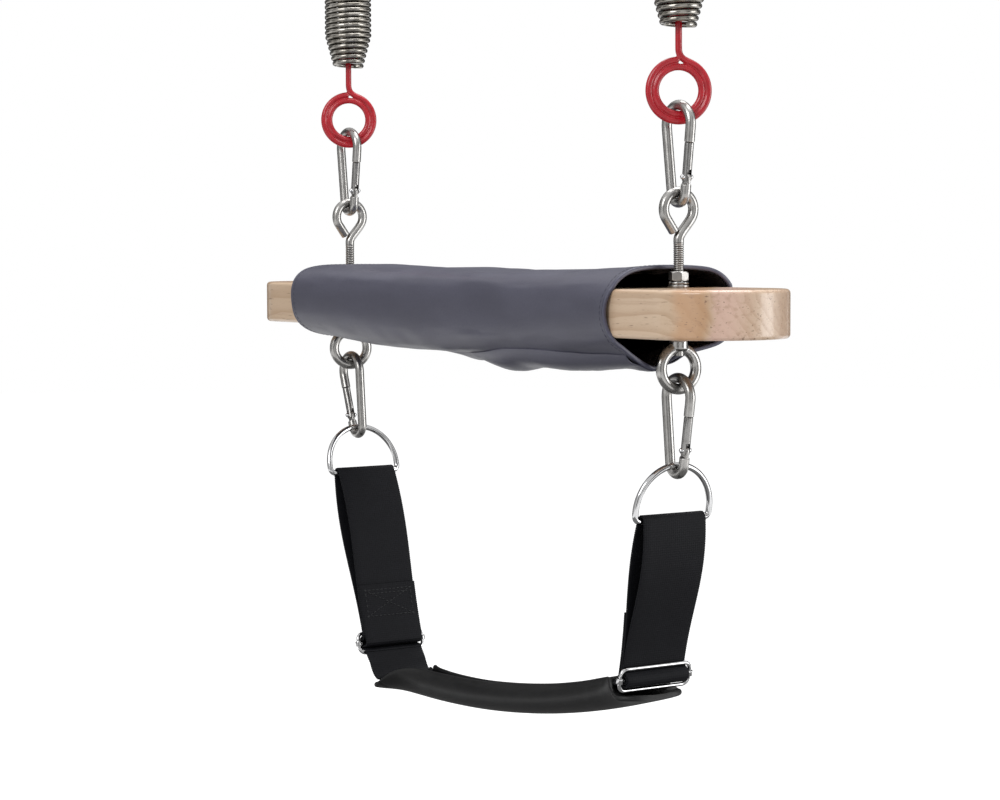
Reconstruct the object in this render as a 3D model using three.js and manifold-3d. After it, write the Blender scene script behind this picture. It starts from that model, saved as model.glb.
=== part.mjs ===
// A trapeze bar for an exercise frame: a wooden bar with a padded sleeve, hung from two extension
// springs, and a webbing sling with a rubber grip hung under it.
// Millimetres, +Z up, +X along the bar, -Y its front. The origin lies midway between the two upper
// spring eyes, where their wires bear on the hooks that hold them.
import * as THREE from "three";
import { mergeVertices } from "three/addons/utils/BufferGeometryUtils.js";
import Module from "manifold-3d";

const wasm = await Module();
wasm.setup();

// Clearances
const seatGap = 0.3; // between pieces that bear on each other
const cutOverrun = 1; // how far every cut runs past the face that it opens
const weldDistance = 0.001;

// Wooden bar
const boardLength = 532;
const boltInset = 76; // from each end of the bar to its bolt
const boardWidth = 86;
const boardThickness = 28;
const boardEdgeRadius = 2.5;
const boltHoleRadius = 3.5;

// Eye bolts, nuts and washers
const boltWire = 6;
const eyeOutside = 26;
const eyeTopHeight = 58.5; // top of the eye above the bar
const neckHeight = 28; // where the bent wire becomes the straight shank
const eyeEndRun = 9; // straight stretch of the eye's cut end
const shankEngagement = 6.5; // length of shank inside the eye nut
const nutFlats = 10;
const nutHeight = 5.5;
const nutBoreRadius = 3.4;
const washerRadius = 6;
const washerThickness = 1.6;
const springWasherSplit = 1.2;
const underWasherThickness = 1;

// Eye nuts
const eyeNutOutside = 30;
const eyeNutSection = 6.4;
const eyeNutDrop = 33.6; // bottom of the ring below the bar
const bossRadius = 5.5;
const bossDepth = 5.4;

// How far the eye bolts and the eye nuts are turned about their own shanks
const rightEyeTurn = THREE.MathUtils.degToRad(-5);
const leftEyeTurn = THREE.MathUtils.degToRad(-10);
const rightNutTurn = THREE.MathUtils.degToRad(-5);
const leftNutTurn = THREE.MathUtils.degToRad(-17);

// How far the sling draws each lower hook and each D-ring inboard
const rightHookLean = THREE.MathUtils.degToRad(2);
const rightRingLean = THREE.MathUtils.degToRad(9);
const leftHookLean = THREE.MathUtils.degToRad(12);
const leftRingLean = THREE.MathUtils.degToRad(16);

// Snap hooks
const hookLength = 62;
const hookWire = 6;
const hookWideEnd = 28.6;
const hookNarrowEnd = 19;
const noseBelowTop = 24.5;
const pivotBelowTop = 44.4;
const noseGap = 0.5;
const gateRadius = 2.7;
const gateTail = 2.4; // gate beyond its pin
const tangThickness = 2.2;
const tangShoulder = 4; // full wire starts this far below the pin
const slotDepth = 4.4; // fork slot above the pin
const pinRadius = 1;
const gateBoreRadius = 1.2;
const gateBoreDepth = 6;
const plungerRadius = 0.85;

// Spring eyes of dipped wire, two turns one inside the other
const eyeWire = 4;
const innerTurnRadius = 13.5;
const outerTurnRadius = 17.5;
const strandWaist = 0.8; // half depth of the groove between the two turns
const stemLength = 16; // wire between the eye and the end coil
const bendStart = 5; // where the stem starts to bend, above the eye
const bendLanding = THREE.MathUtils.degToRad(48); // where it joins the outer turn
const lowerEyeTurn = THREE.MathUtils.degToRad(25);

// Extension springs
const coilWire = 3.7;
const coilOutside = 32.6;
const endCoilOutside = 21;
const coilGap = 0.45;
const curls = 28;
const taperCurls = 5;
const coneTop = 13; // head of the spring eye, inside the end coils
const coneBottom = 1.5;

// D-rings
const dInside = 50;
const dWire = 3.7;
const dHeight = 36;
const dCornerRadius = 3.5;

// Webbing, slides and the loops over the D-rings
const webWidth = 45;
const webThickness = 1.4;
const slideWire = 2.4;
const slideBarSpacing = 6.75;
const slideOutside = 53;
const slideCornerRadius = 4.2;
const knuckleRadius = 2.25;
const knuckleBore = 1.5;
const knuckleLength = 3.2;
const loopSpread = THREE.MathUtils.degToRad(12); // how far the two runs lean apart at the D-ring
const loopPullShare = 0.4; // of a run, how far each end's direction governs it
const rightSlideRise = 14.6; // middle of the slide above the grip's lowest line
const rightSlideInset = 23.2; // middle of the slide inboard of the bolt
const rightSlideLean = THREE.MathUtils.degToRad(12);
const rightBarWrapShare = 0; // how far the webbing follows the slide's bottom bar
const leftSlideRise = 29.7;
const leftSlideInset = 52;
const leftSlideLean = THREE.MathUtils.degToRad(18);
const leftBarWrapShare = 1;
const webSeatGap = 0.4; // between the webbing and the wires that it bends round
const rightLandingShare = 0.5; // of the grip's closing run, where the webbing first lies on it
const leftLandingShare = 0.3;
const sewnTail = 34; // length of the sewn end above the slide

// Grip, a rubber sheet rolled round the webbing and opened at both ends
const gripWidth = 48; // the sheet's width before it is rolled
const gripThickness = 3.5;
const gripBowRadius = 880;
const gripLowShare = -0.42; // of the way from the middle to a bolt, where the grip is lowest
const gripDrop = 144.9; // lowest point of the grip below the right D-ring's bar
const gripReachRight = 4; // end of the grip outboard of its slide
const gripReachLeft = -9;
const gripCornerRadius = 12;
const gripClosedBend = THREE.MathUtils.degToRad(350);
const gripCloseRun = 45; // stretch in which the sheet closes to a tube
const webInGripThickness = 2.6; // the webbing is gathered there
const webGripGap = 1.2;
const webRollShare = 0.965; // of the grip's bend
const webFlatRun = 8; // stretch past the slide in which the webbing takes the grip's bend

// Sleeve
const sleeveToWasher = 2; // from each end of the sleeve to the bolt's washers
const coverThickness = 1.6;
const liningThickness = 1;
const bindingLength = 2.2;
const plyGap = 0.6; // between the sleeve's cover and its lining
const sleeveCornerRise = 4.4; // outer corner above and below the bar's faces
const sleeveCrown = 10.5;
const sleeveSag = 17;
const flapThickness = 1.4;
const flapGap = 0.4; // measured down, so that the sloping face keeps its clearance
const crownShares = [0.75, 0.7, 0.68, 0.68, 0.66, 0.62, 0.72, 1];
const sagShares = [0.72, 0.7, 0.74, 0.84, 0.95, 1, 0.96, 1];
const sleeveStationShares = [-1, -0.82, -0.5, -0.15, 0.2, 0.5, 0.82, 1];
const archShares = [0.97, 0.8, 0.55, 0.28];
const sideShare = 0.1; // of the bar's thickness, where a side wall starts to round
const flapShares = [-0.8, -0.6, -0.4, -0.2, 0, 0.2];
// Stations along the grip: [share of the closing run, share of the closed bend]
const gripBendShares = [
  [0, 0.075],
  [0.03, 0.076],
  [0.09, 0.08],
  [0.2, 0.09],
  [0.3, 0.17],
  [0.4, 0.31],
  [0.5, 0.46],
  [0.62, 0.6],
  [0.8, 0.757],
  [1, 0.857],
  [1.55, 0.943],
  [2.45, 1],
];

// Roundness
const wireSides = 6;
const thinSides = 6;
const arcSteps = 8; // for half a turn of wire
const ringSteps = 16;
const coilSteps = 8;
const coilSides = 5;
const webAcross = 10;
const bezierSteps = 7;

// Materials
const material = (color, roughness, metalness = 0) =>
  new THREE.MeshStandardMaterial({ color, roughness, metalness });
const wood = material(0xc8ab90, 0.35);
const steel = material(0xb9b6b0, 0.3, 1);
const springSteel = material(0x8f8b84, 0.35, 1);
const dippedWire = material(0xc01628, 0.4);
const vinyl = material(0x54555f, 0.5);
const black = material(0x121214, 0.8);
const webbing = material(0x17181c, 0.85);
const rubber = material(0x242425, 0.7);

const part = new THREE.Group();

// Adds one named piece; a turn is about the vertical axis.
function add(name, geometry, finish, x = 0, z = 0, turn = 0) {
  const mesh = new THREE.Mesh(geometry, finish);
  mesh.name = name;
  mesh.position.set(x, 0, z);
  mesh.rotation.z = turn;
  part.add(mesh);
  return mesh;
}

// Solids for joins and cuts
function solidOf(geometry) {
  const bare = geometry.clone();
  bare.deleteAttribute("normal");
  bare.deleteAttribute("uv");
  const merged = mergeVertices(bare, weldDistance);
  return new wasm.Manifold(
    new wasm.Mesh({
      numProp: 3,
      vertProperties: new Float32Array(merged.attributes.position.array),
      triVerts: new Uint32Array(merged.index.array),
    }),
  );
}

function geometryOf(solid) {
  const mesh = solid.getMesh();
  return new THREE.BufferGeometry()
    .setAttribute("position", new THREE.BufferAttribute(mesh.vertProperties, 3))
    .setIndex(new THREE.BufferAttribute(mesh.triVerts, 1));
}

const joined = (...geometries) =>
  geometryOf(geometries.map(solidOf).reduce((all, one) => all.add(one)));
const cut = (body, ...tools) =>
  geometryOf(tools.map(solidOf).reduce((left, tool) => left.subtract(tool), solidOf(body)));

// A cylinder along Z, or along Y, that runs from one end to the other.
function post(radius, from, to, sides, x = 0) {
  const geometry = new THREE.CylinderGeometry(radius, radius, to - from, sides);
  return geometry.rotateX(Math.PI / 2).translate(x, 0, (from + to) / 2);
}
function crossPin(radius, length, sides, x, z) {
  return new THREE.CylinderGeometry(radius, radius, length, sides).translate(x, 0, z);
}
function block(width, depth, height, x, y, z) {
  return new THREE.BoxGeometry(width, depth, height).translate(x, y, z);
}

// Plane curves are lists of points [a, b]; a runs along X and b along Z.
function arc(centre, radius, from, to, steps) {
  return Array.from({ length: steps + 1 }, (_, i) => {
    const angle = from + ((to - from) * i) / Math.max(steps, 1);
    return [centre[0] + radius * Math.cos(angle), centre[1] + radius * Math.sin(angle)];
  });
}

function bezier(p0, p1, p2, p3, steps) {
  const curve = new THREE.CubicBezierCurve(
    ...[p0, p1, p2, p3].map((p) => new THREE.Vector2(...p)),
  );
  return curve.getPoints(steps).map((p) => [p.x, p.y]);
}

const along = (point, direction, distance) => [
  point[0] + direction[0] * distance,
  point[1] + direction[1] * distance,
];

// Unit direction of a plane curve at each of its points
function directions(points, closed = false) {
  const count = points.length;
  return points.map((_, i) => {
    const before = points[closed ? (i + count - 1) % count : Math.max(i - 1, 0)];
    const after = points[closed ? (i + 1) % count : Math.min(i + 1, count - 1)];
    const size = Math.hypot(after[0] - before[0], after[1] - before[1]);
    return [(after[0] - before[0]) / size, (after[1] - before[1]) / size];
  });
}

// Share of the way round a ring of points made of an outer and an inner row
function shareRound(i, count) {
  const row = count / 2;
  const rowShare = 0.45;
  if (i >= count) return 1;
  return i < row ? (rowShare * i) / (row - 1) : 0.5 + (rowShare * (i - row)) / (row - 1);
}

// One closed surface through a row of rings, which may differ in their number of points.
function loft(rings, closed = false) {
  const positions = [];
  const faces = [];
  const starts = rings.map((ring) => {
    const start = positions.length / 3;
    ring.forEach((p) => positions.push(p.x, p.y, p.z));
    return start;
  });
  const links = closed ? rings.length : rings.length - 1;
  for (let k = 0; k < links; k++) {
    const next = (k + 1) % rings.length;
    const [m, n] = [rings[k].length, rings[next].length];
    let [i, j] = [0, 0];
    while (i < m || j < n) {
      const a = starts[k] + (i % m);
      const b = starts[next] + (j % n);
      if (j >= n || (i < m && shareRound(i + 1, m) <= shareRound(j + 1, n))) {
        faces.push(a, starts[k] + ((i + 1) % m), b);
        i++;
      } else {
        faces.push(a, starts[next] + ((j + 1) % n), b);
        j++;
      }
    }
  }
  if (!closed) {
    const cap = (start, count, turned) => {
      const face = (a, b, c) => faces.push(start + a, start + (turned ? c : b), start + (turned ? b : c));
      let [low, high] = [0, count - 1];
      while (high - low > 1) {
        face(low, high, low + 1);
        low++;
        if (high - low > 1) {
          face(low, high, high - 1);
          high--;
        }
      }
    };
    cap(starts[0], rings[0].length, false);
    cap(starts[links], rings[links].length, true);
  }
  const geometry = new THREE.BufferGeometry()
    .setAttribute("position", new THREE.Float32BufferAttribute(positions, 3))
    .setIndex(faces);
  return facingOut(geometry);
}

// Turns every face round if the surface encloses less than nothing.
function facingOut(geometry) {
  const at = geometry.getAttribute("position");
  const index = geometry.getIndex();
  const [a, b, c] = [new THREE.Vector3(), new THREE.Vector3(), new THREE.Vector3()];
  let volume = 0;
  for (let i = 0; i < index.count; i += 3) {
    a.fromBufferAttribute(at, index.getX(i));
    b.fromBufferAttribute(at, index.getX(i + 1));
    c.fromBufferAttribute(at, index.getX(i + 2));
    volume += a.dot(b.cross(c));
  }
  if (volume < 0) index.array.reverse();
  return geometry;
}

// A wire bent in the XZ plane
function wire(points, diameter, sides, closed = false) {
  const heading = directions(points, closed);
  const rings = points.map(([x, z], i) =>
    Array.from({ length: sides }, (_, side) => {
      const angle = (2 * Math.PI * side) / sides;
      const reach = (diameter / 2) * Math.cos(angle);
      return new THREE.Vector3(
        x - reach * heading[i][1],
        (diameter / 2) * Math.sin(angle),
        z + reach * heading[i][0],
      );
    }),
  );
  return loft(rings, closed);
}

const boltX = boardLength / 2 - boltInset;
const gripLowX = boltX * gripLowShare;
const sleeveHalfLength = boltX - washerRadius - sleeveToWasher;

// Heights down the chain, from the hooks that hold the part
const hangInside = innerTurnRadius - eyeWire / 2;
const ringOutside = outerTurnRadius + eyeWire / 2;
const upperRingZ = -hangInside;
const coilTopZ = upperRingZ - ringOutside - stemLength;
const coilPitch = coilWire + coilGap;
const coilLength = curls * coilPitch + coilWire;
const coilBottomZ = coilTopZ - coilLength;
const lowerRingZ = coilBottomZ - stemLength - ringOutside;
const upperHookZ = lowerRingZ - hangInside + seatGap + hookWire / 2; // its top wire
const hookSpan = hookLength - hookWire;
const eyeTopZ = upperHookZ - hookSpan + hookWire / 2 + seatGap + boltWire;
const boardTopZ = eyeTopZ - eyeTopHeight;
const boardBottomZ = boardTopZ - boardThickness;
const eyeNutFootZ = boardBottomZ - eyeNutDrop + eyeNutSection / 2; // middle of its bottom wire
const lowerHookRise = (eyeNutSection + hookWire) / 2 + seatGap;
const lowerHookZ = eyeNutFootZ + lowerHookRise;

const sides = [
  {
    side: "left",
    sign: -1,
    eyeTurn: leftEyeTurn,
    nutTurn: leftNutTurn,
    lowerGate: -1,
    hookLean: leftHookLean,
    ringLean: leftRingLean,
  },
  {
    side: "right",
    sign: 1,
    eyeTurn: rightEyeTurn,
    nutTurn: rightNutTurn,
    lowerGate: 1,
    hookLean: rightHookLean,
    ringLean: rightRingLean,
  },
];

// Each lower hook leans about the bottom wire of its eye nut, and each D-ring about its own top wire.
const ringTopReach = hookSpan - (hookWire + dWire) / 2 - seatGap - lowerHookRise;
const downward = (sign, lean) => [-sign * Math.sin(lean), -Math.cos(lean)];
for (const place of sides) {
  const foot = [place.sign * boltX, eyeNutFootZ];
  const ringTop = along(foot, downward(place.sign, place.hookLean), ringTopReach);
  place.ringBar = along(ringTop, downward(place.sign, place.ringLean), dHeight - dWire);
}
const [leftSide, rightSide] = sides;

// Wooden bar
function boardGeometry() {
  const endRadius = boardWidth / 2 - boardEdgeRadius;
  const endX = boardLength / 2 - boardWidth / 2;
  const outline = new THREE.Shape();
  outline.absarc(endX, 0, endRadius, -Math.PI / 2, Math.PI / 2);
  outline.absarc(-endX, 0, endRadius, Math.PI / 2, (3 * Math.PI) / 2);
  outline.closePath();
  const bar = new THREE.ExtrudeGeometry(outline, {
    depth: boardThickness - 2 * boardEdgeRadius,
    curveSegments: 14,
    bevelThickness: boardEdgeRadius,
    bevelSize: boardEdgeRadius,
    bevelSegments: 2,
  }).translate(0, 0, boardBottomZ + boardEdgeRadius);
  const holes = [-boltX, boltX].map((x) =>
    post(boltHoleRadius, boardBottomZ - cutOverrun, boardTopZ + cutOverrun, 12, x),
  );
  return cut(bar, ...holes);
}
add("wooden_bar", boardGeometry(), wood);

// Sleeve: its section arches over the bar, hugs its sides and sags below it.
const sleeveHalfWidth = boardWidth / 2 + 2 * seatGap + liningThickness + plyGap + coverThickness;

function sleeveOutline(x, inset, crownShare, sagShare) {
  const halfWidth = sleeveHalfWidth - inset;
  const corner = sleeveCornerRise - inset;
  const arch = (share) => 1 - share * share;
  const top = (share) => [
    share * halfWidth,
    boardTopZ + corner + sleeveCrown * crownShare * arch(share),
  ];
  const bottom = (share) => [
    share * halfWidth,
    boardBottomZ - corner - sleeveSag * sagShare * arch(share),
  ];
  const fromLeft = [...archShares.map((share) => -share), 0, ...archShares.toReversed()];
  const round = boardThickness * sideShare;
  const points = [
    ...fromLeft.map(top),
    [halfWidth, boardTopZ - round],
    [halfWidth, boardBottomZ + round],
    ...fromLeft.toReversed().map(bottom),
    [-halfWidth, boardBottomZ + round],
    [-halfWidth, boardTopZ - round],
  ];
  return points.map(([y, z]) => new THREE.Vector3(x, y, z));
}

// A wall of the sleeve between two insets: out along the outside and back along the inside
function sleeveWall(outer, inner, halfLength) {
  const stations = sleeveStationShares.map((share, i) => [share * halfLength, i]);
  const row = (inset, order) =>
    order.map(([x, i]) => sleeveOutline(x, inset, crownShares[i], sagShares[i]));
  return loft([...row(outer, stations), ...row(inner, stations.toReversed())], true);
}

const coverEnd = sleeveHalfLength - bindingLength - seatGap;
add("sleeve_cover", sleeveWall(0, coverThickness, coverEnd), vinyl);
const liningOuter = coverThickness + plyGap;
const sleeveWallDepth = liningOuter + liningThickness;
add("sleeve_lining", sleeveWall(liningOuter, sleeveWallDepth, coverEnd), black);

function bindingGeometry(index, sign) {
  const near = sign * (coverEnd + seatGap);
  const far = near + sign * bindingLength;
  const loop = (x, inset) => sleeveOutline(x, inset, crownShares[index], sagShares[index]);
  return loft(
    [loop(near, 0), loop(far, 0), loop(far, sleeveWallDepth), loop(near, sleeveWallDepth)],
    true,
  );
}
add("sleeve_binding_left", bindingGeometry(0, -1), vinyl);
add("sleeve_binding_right", bindingGeometry(sleeveStationShares.length - 1, 1), vinyl);

// Closure flap, lapped over the sleeve's underside
function flapGeometry() {
  const rings = sleeveStationShares.map((share, i) => {
    const row = (inset) =>
      flapShares.map((across) => {
        const halfWidth = sleeveHalfWidth;
        const drop = sleeveSag * sagShares[i] * (1 - across * across);
        const z = boardBottomZ - sleeveCornerRise - drop + inset;
        return new THREE.Vector3(share * coverEnd, across * halfWidth, z);
      });
    return [...row(-flapGap), ...row(-flapGap - flapThickness).toReversed()];
  });
  return loft(rings);
}
add("closure_flap", flapGeometry(), vinyl);

// Eye bolts, nuts and washers
const shankEnd = -(boardThickness + underWasherThickness + 2 * seatGap + shankEngagement);

function eyeBoltGeometry() {
  const radius = (eyeOutside - boltWire) / 2;
  const centre = [0, eyeTopHeight - eyeOutside / 2];
  const leave = THREE.MathUtils.degToRad(35); // where both legs leave the eye, below its middle
  const loop = arc(centre, radius, Math.PI + leave, -leave, 2 * arcSteps);
  const cutEnd = along(loop[0], [Math.sin(leave), -Math.cos(leave)], eyeEndRun);
  const lastPoint = loop.at(-1);
  const neck = [0, neckHeight];
  const pull = (lastPoint[1] - neckHeight) / 2;
  const leg = bezier(
    lastPoint,
    along(lastPoint, [-Math.sin(leave), -Math.cos(leave)], pull),
    along(neck, [0, 1], pull / 2),
    neck,
    bezierSteps,
  );
  return wire([cutEnd, ...loop, ...leg.slice(1), [0, shankEnd]], boltWire, wireSides);
}

function ringGeometry(outside, bore, height, steps) {
  const profile = [
    [bore, 0],
    [outside, 0],
    [outside, height],
    [bore, height],
    [bore, 0],
  ].map((p) => new THREE.Vector2(...p));
  return new THREE.LatheGeometry(profile, steps).rotateX(Math.PI / 2);
}

function nutGeometry() {
  const corner = nutFlats / Math.sqrt(3);
  const body = post(corner, 0, nutHeight, 6);
  return cut(body, post(nutBoreRadius, -cutOverrun, nutHeight + cutOverrun, 12));
}

function springWasherGeometry() {
  const ring = ringGeometry(washerRadius, boltHoleRadius, washerThickness, 12);
  const split = block(springWasherSplit, washerRadius, 3 * washerThickness, 0, -washerRadius, 0);
  return cut(ring, split);
}

function eyeNutGeometry() {
  const middle = (eyeNutOutside - eyeNutSection) / 2;
  const centre = -(eyeNutDrop - eyeNutOutside / 2);
  const bossTop = -(underWasherThickness + 2 * seatGap);
  const circle = arc([0, centre], middle, 0, 2 * Math.PI, ringSteps).slice(1);
  const ring = wire(circle, eyeNutSection, wireSides, true);
  const boss = post(bossRadius, bossTop - bossDepth, bossTop, 12);
  const bore = post(boltHoleRadius, centre, bossTop + cutOverrun, 12);
  return cut(joined(ring, boss), bore);
}

const washerZ = boardTopZ + seatGap;
const springWasherZ = washerZ + washerThickness + seatGap;
const nutZ = springWasherZ + washerThickness + seatGap;
const across = Math.PI / 2; // turns a piece drawn in the XZ plane to face along the bar

for (const { side, sign, eyeTurn, nutTurn } of sides) {
  const x = sign * boltX;
  add("eye_bolt_" + side, eyeBoltGeometry(), steel, x, boardTopZ, across + eyeTurn);
  const topWasher = ringGeometry(washerRadius, boltHoleRadius, washerThickness, 12);
  add("top_washer_" + side, topWasher, steel, x, washerZ);
  add("spring_washer_" + side, springWasherGeometry(), steel, x, springWasherZ);
  add("top_nut_" + side, nutGeometry(), steel, x, nutZ);
  const underWasher = ringGeometry(washerRadius, boltHoleRadius, underWasherThickness, 12);
  add("under_washer_" + side, underWasher, steel, x, boardBottomZ - seatGap - underWasherThickness);
  add("eye_nut_" + side, eyeNutGeometry(), steel, x, boardBottomZ, across + nutTurn);
}

// Snap hooks: drawn with the wide end up, the gate towards +X and the top wire at the origin
const wideRadius = (hookWideEnd - hookWire) / 2;
const narrowRadius = (hookNarrowEnd - hookWire) / 2;
const wideCentre = [0, -wideRadius];
const narrowCentre = [0, narrowRadius - hookSpan];
const sideLean = Math.asin((wideRadius - narrowRadius) / (wideCentre[1] - narrowCentre[1]));
const gateFoot = along(narrowCentre, [Math.cos(sideLean), -Math.sin(sideLean)], narrowRadius);
const gateUp = [Math.sin(sideLean), Math.cos(sideLean)];
const onGateLine = (belowTop) =>
  along(gateFoot, gateUp, (hookWire / 2 - belowTop - gateFoot[1]) / gateUp[1]);
const nosePoint = onGateLine(noseBelowTop);
const pivotPoint = onGateLine(pivotBelowTop);

// Draws what stands upright at the origin along the gate, from its pin.
const alongGate = (geometry) =>
  geometry.rotateY(sideLean).translate(pivotPoint[0], 0, pivotPoint[1]);

function hookGeometry() {
  const path = [
    nosePoint,
    ...arc(wideCentre, wideRadius, -sideLean, Math.PI + sideLean, arcSteps + 1),
    ...arc(narrowCentre, narrowRadius, Math.PI + sideLean, 2 * Math.PI - sideLean, arcSteps),
    along(pivotPoint, gateUp, gateTail),
  ];
  const cheek = (hookWire - tangThickness) / 2 + cutOverrun;
  const tangLength = tangShoulder + gateTail + cutOverrun;
  const trims = [-1, 1].map((face) =>
    alongGate(
      block(
        hookWire + cutOverrun,
        cheek,
        tangLength,
        0,
        (face * (tangThickness + cheek)) / 2,
        tangLength / 2 - tangShoulder,
      ),
    ),
  );
  const hole = crossPin(pinRadius + seatGap, hookWire + cutOverrun, thinSides, ...pivotPoint);
  return cut(wire(path, hookWire, wireSides), ...trims, hole);
}

function gateGeometry() {
  const length = Math.hypot(nosePoint[0] - pivotPoint[0], nosePoint[1] - pivotPoint[1]);
  const bar = post(gateRadius, -gateTail, length - noseGap, wireSides);
  const slotHeight = slotDepth + gateTail + cutOverrun;
  const slot = block(
    hookWire + cutOverrun,
    tangThickness + 2 * seatGap,
    slotHeight,
    0,
    0,
    slotDepth - slotHeight / 2,
  );
  const bore = post(gateBoreRadius, 0, slotDepth + gateBoreDepth, thinSides);
  const hole = crossPin(pinRadius + seatGap, hookWire + cutOverrun, thinSides, 0, 0);
  return alongGate(cut(bar, slot, bore, hole));
}

const plungerFoot = gateTail + 2 * seatGap;
function plungerGeometry() {
  return alongGate(post(plungerRadius, plungerFoot, slotDepth + gateBoreDepth - seatGap, thinSides));
}

const hookLevels = [
  { level: "upper", z: upperHookZ, rise: 0, gateSign: () => 1, leanOf: () => 0 },
  {
    level: "lower",
    z: eyeNutFootZ,
    rise: lowerHookRise,
    gateSign: (place) => place.lowerGate,
    leanOf: (place) => place.hookLean,
  },
];
for (const { level, z, rise, gateSign, leanOf } of hookLevels) {
  for (const place of sides) {
    const name = level + "_" + place.side;
    const turn = gateSign(place) > 0 ? 0 : Math.PI;
    const pin = crossPin(pinRadius, hookWire, thinSides, ...pivotPoint);
    const snapHook = new THREE.Group();
    snapHook.position.set(place.sign * boltX, 0, z);
    snapHook.rotation.set(0, place.sign * leanOf(place), 0);
    snapHook.add(
      add("hook_" + name, hookGeometry(), steel, 0, rise, turn),
      add("gate_" + name, gateGeometry(), steel, 0, rise, turn),
      add("gate_pin_" + name, pin, steel, 0, rise, turn),
      add("gate_plunger_" + name, plungerGeometry(), steel, 0, rise, turn),
    );
    part.add(snapHook);
  }
}

// Spring eyes: drawn with the stem up and the ring's centre at the origin
const taperRise = (coilOutside - endCoilOutside) / 2 / taperCurls; // growth of the radius a curl
const endCoilRadius = (endCoilOutside - coilWire) / 2;
const coilInsideShare = Math.cos(Math.PI / coilSteps); // a faceted coil's nearest point to its axis

function springEyeGeometry() {
  const half = eyeWire / 2;
  const lean = half * Math.cos(Math.PI / 3);
  const rise = half * Math.sin(Math.PI / 3);
  const waistRadius = (innerTurnRadius + outerTurnRadius) / 2;
  const oneSide = [
    [innerTurnRadius - lean, rise],
    [innerTurnRadius + lean, rise],
    [waistRadius, strandWaist],
    [outerTurnRadius - lean, rise],
    [outerTurnRadius + lean, rise],
  ];
  const otherSide = oneSide.toReversed().map(([r, h]) => [r, -h]);
  const start = [innerTurnRadius - half, 0];
  const profile = [start, ...oneSide, [outerTurnRadius + half, 0], ...otherSide, start];
  const ring = facingOut(
    mergeVertices(
      new THREE.LatheGeometry(
        profile.map((p) => new THREE.Vector2(...p)),
        ringSteps,
      )
        .deleteAttribute("normal")
        .deleteAttribute("uv"),
      weldDistance,
    ),
  );
  const stemTop = ringOutside + stemLength + coilWire / 2;
  const landing = arc([0, 0], outerTurnRadius, Math.PI / 2 - bendLanding, 0, 1)[0];
  const landingHeading = [Math.cos(bendLanding), -Math.sin(bendLanding)];
  const bendTop = [0, ringOutside + bendStart];
  const pull = bendStart + eyeWire;
  const bend = bezier(
    bendTop,
    along(bendTop, [0, -1], pull),
    along(landing, landingHeading, -pull),
    landing,
    bezierSteps,
  );
  const stem = wire([[0, stemTop + coneBottom + coilPitch], ...bend], eyeWire, thinSides);
  const coneRadius = (height) => {
    const coilRadius = endCoilRadius + (taperRise * height) / coilPitch;
    return coilRadius * coilInsideShare - coilWire / 2 - seatGap;
  };
  const coneProfile = [
    [0, coneBottom],
    [coneRadius(coneBottom), coneBottom],
    [coneRadius(coneTop), coneTop],
    [0, coneTop],
  ].map(([r, h]) => new THREE.Vector2(r, h));
  const cone = new THREE.LatheGeometry(coneProfile, 12)
    .rotateX(Math.PI / 2)
    .translate(0, 0, stemTop);
  return joined(ring, stem, cone);
}

// Extension spring: one unbroken tube, close wound, tapered at both ends
function springGeometry() {
  const bodyRadius = (coilOutside - coilWire) / 2;
  const steps = curls * coilSteps;
  const radiusAt = (curl) => {
    const fromEnd = Math.min(curl, curls - curl);
    return Math.min(bodyRadius, endCoilRadius + taperRise * fromEnd);
  };
  const centreAt = (i) => {
    const angle = (2 * Math.PI * i) / coilSteps;
    const radius = radiusAt(i / coilSteps);
    const z = coilWire / 2 + (coilPitch * i) / coilSteps;
    return new THREE.Vector3(radius * Math.cos(angle), radius * Math.sin(angle), z);
  };
  const ringAt = (centre, angle) =>
    Array.from({ length: coilSides }, (_, side) => {
      const turn = (2 * Math.PI * side) / coilSides;
      const out = (coilWire / 2) * Math.cos(turn);
      return new THREE.Vector3(
        centre.x + out * Math.cos(angle),
        centre.y + out * Math.sin(angle),
        centre.z + (coilWire / 2) * Math.sin(turn),
      );
    });
  const rings = [];
  for (let i = 0; i <= steps; i++) {
    rings.push(ringAt(centreAt(i), (2 * Math.PI * i) / coilSteps));
  }
  const straight = (from, angle) => {
    const tangent = new THREE.Vector3(-Math.sin(angle), Math.cos(angle), 0);
    return ringAt(from.clone().addScaledVector(tangent, angle > 0 ? coilWire : -coilWire), angle);
  };
  rings.unshift(straight(centreAt(0), 0));
  rings.push(straight(centreAt(steps), (2 * Math.PI * steps) / coilSteps));
  return { geometry: loft(rings), rings };
}

// Least gap between points of the tube that lie more than half a curl apart
function leastGap(rings) {
  let least = Infinity;
  const nearest = coilSteps / 2;
  rings.forEach((ring, i) => {
    for (let j = i + nearest; j < Math.min(rings.length, i + 3 * nearest); j++) {
      for (const p of ring) for (const q of rings[j]) least = Math.min(least, p.distanceTo(q));
    }
  });
  return least;
}

const spring = springGeometry();
console.log("least gap between spring curls, mm:", leastGap(spring.rings).toFixed(2));
for (const { side, sign } of sides) {
  const x = sign * boltX;
  add("spring_" + side, spring.geometry, springSteel, x, coilBottomZ);
  const upper = springEyeGeometry().rotateY(Math.PI);
  add("upper_spring_eye_" + side, upper, dippedWire, x, upperRingZ, across);
  add("lower_spring_eye_" + side, springEyeGeometry(), dippedWire, x, lowerRingZ, across - lowerEyeTurn);
}

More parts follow.
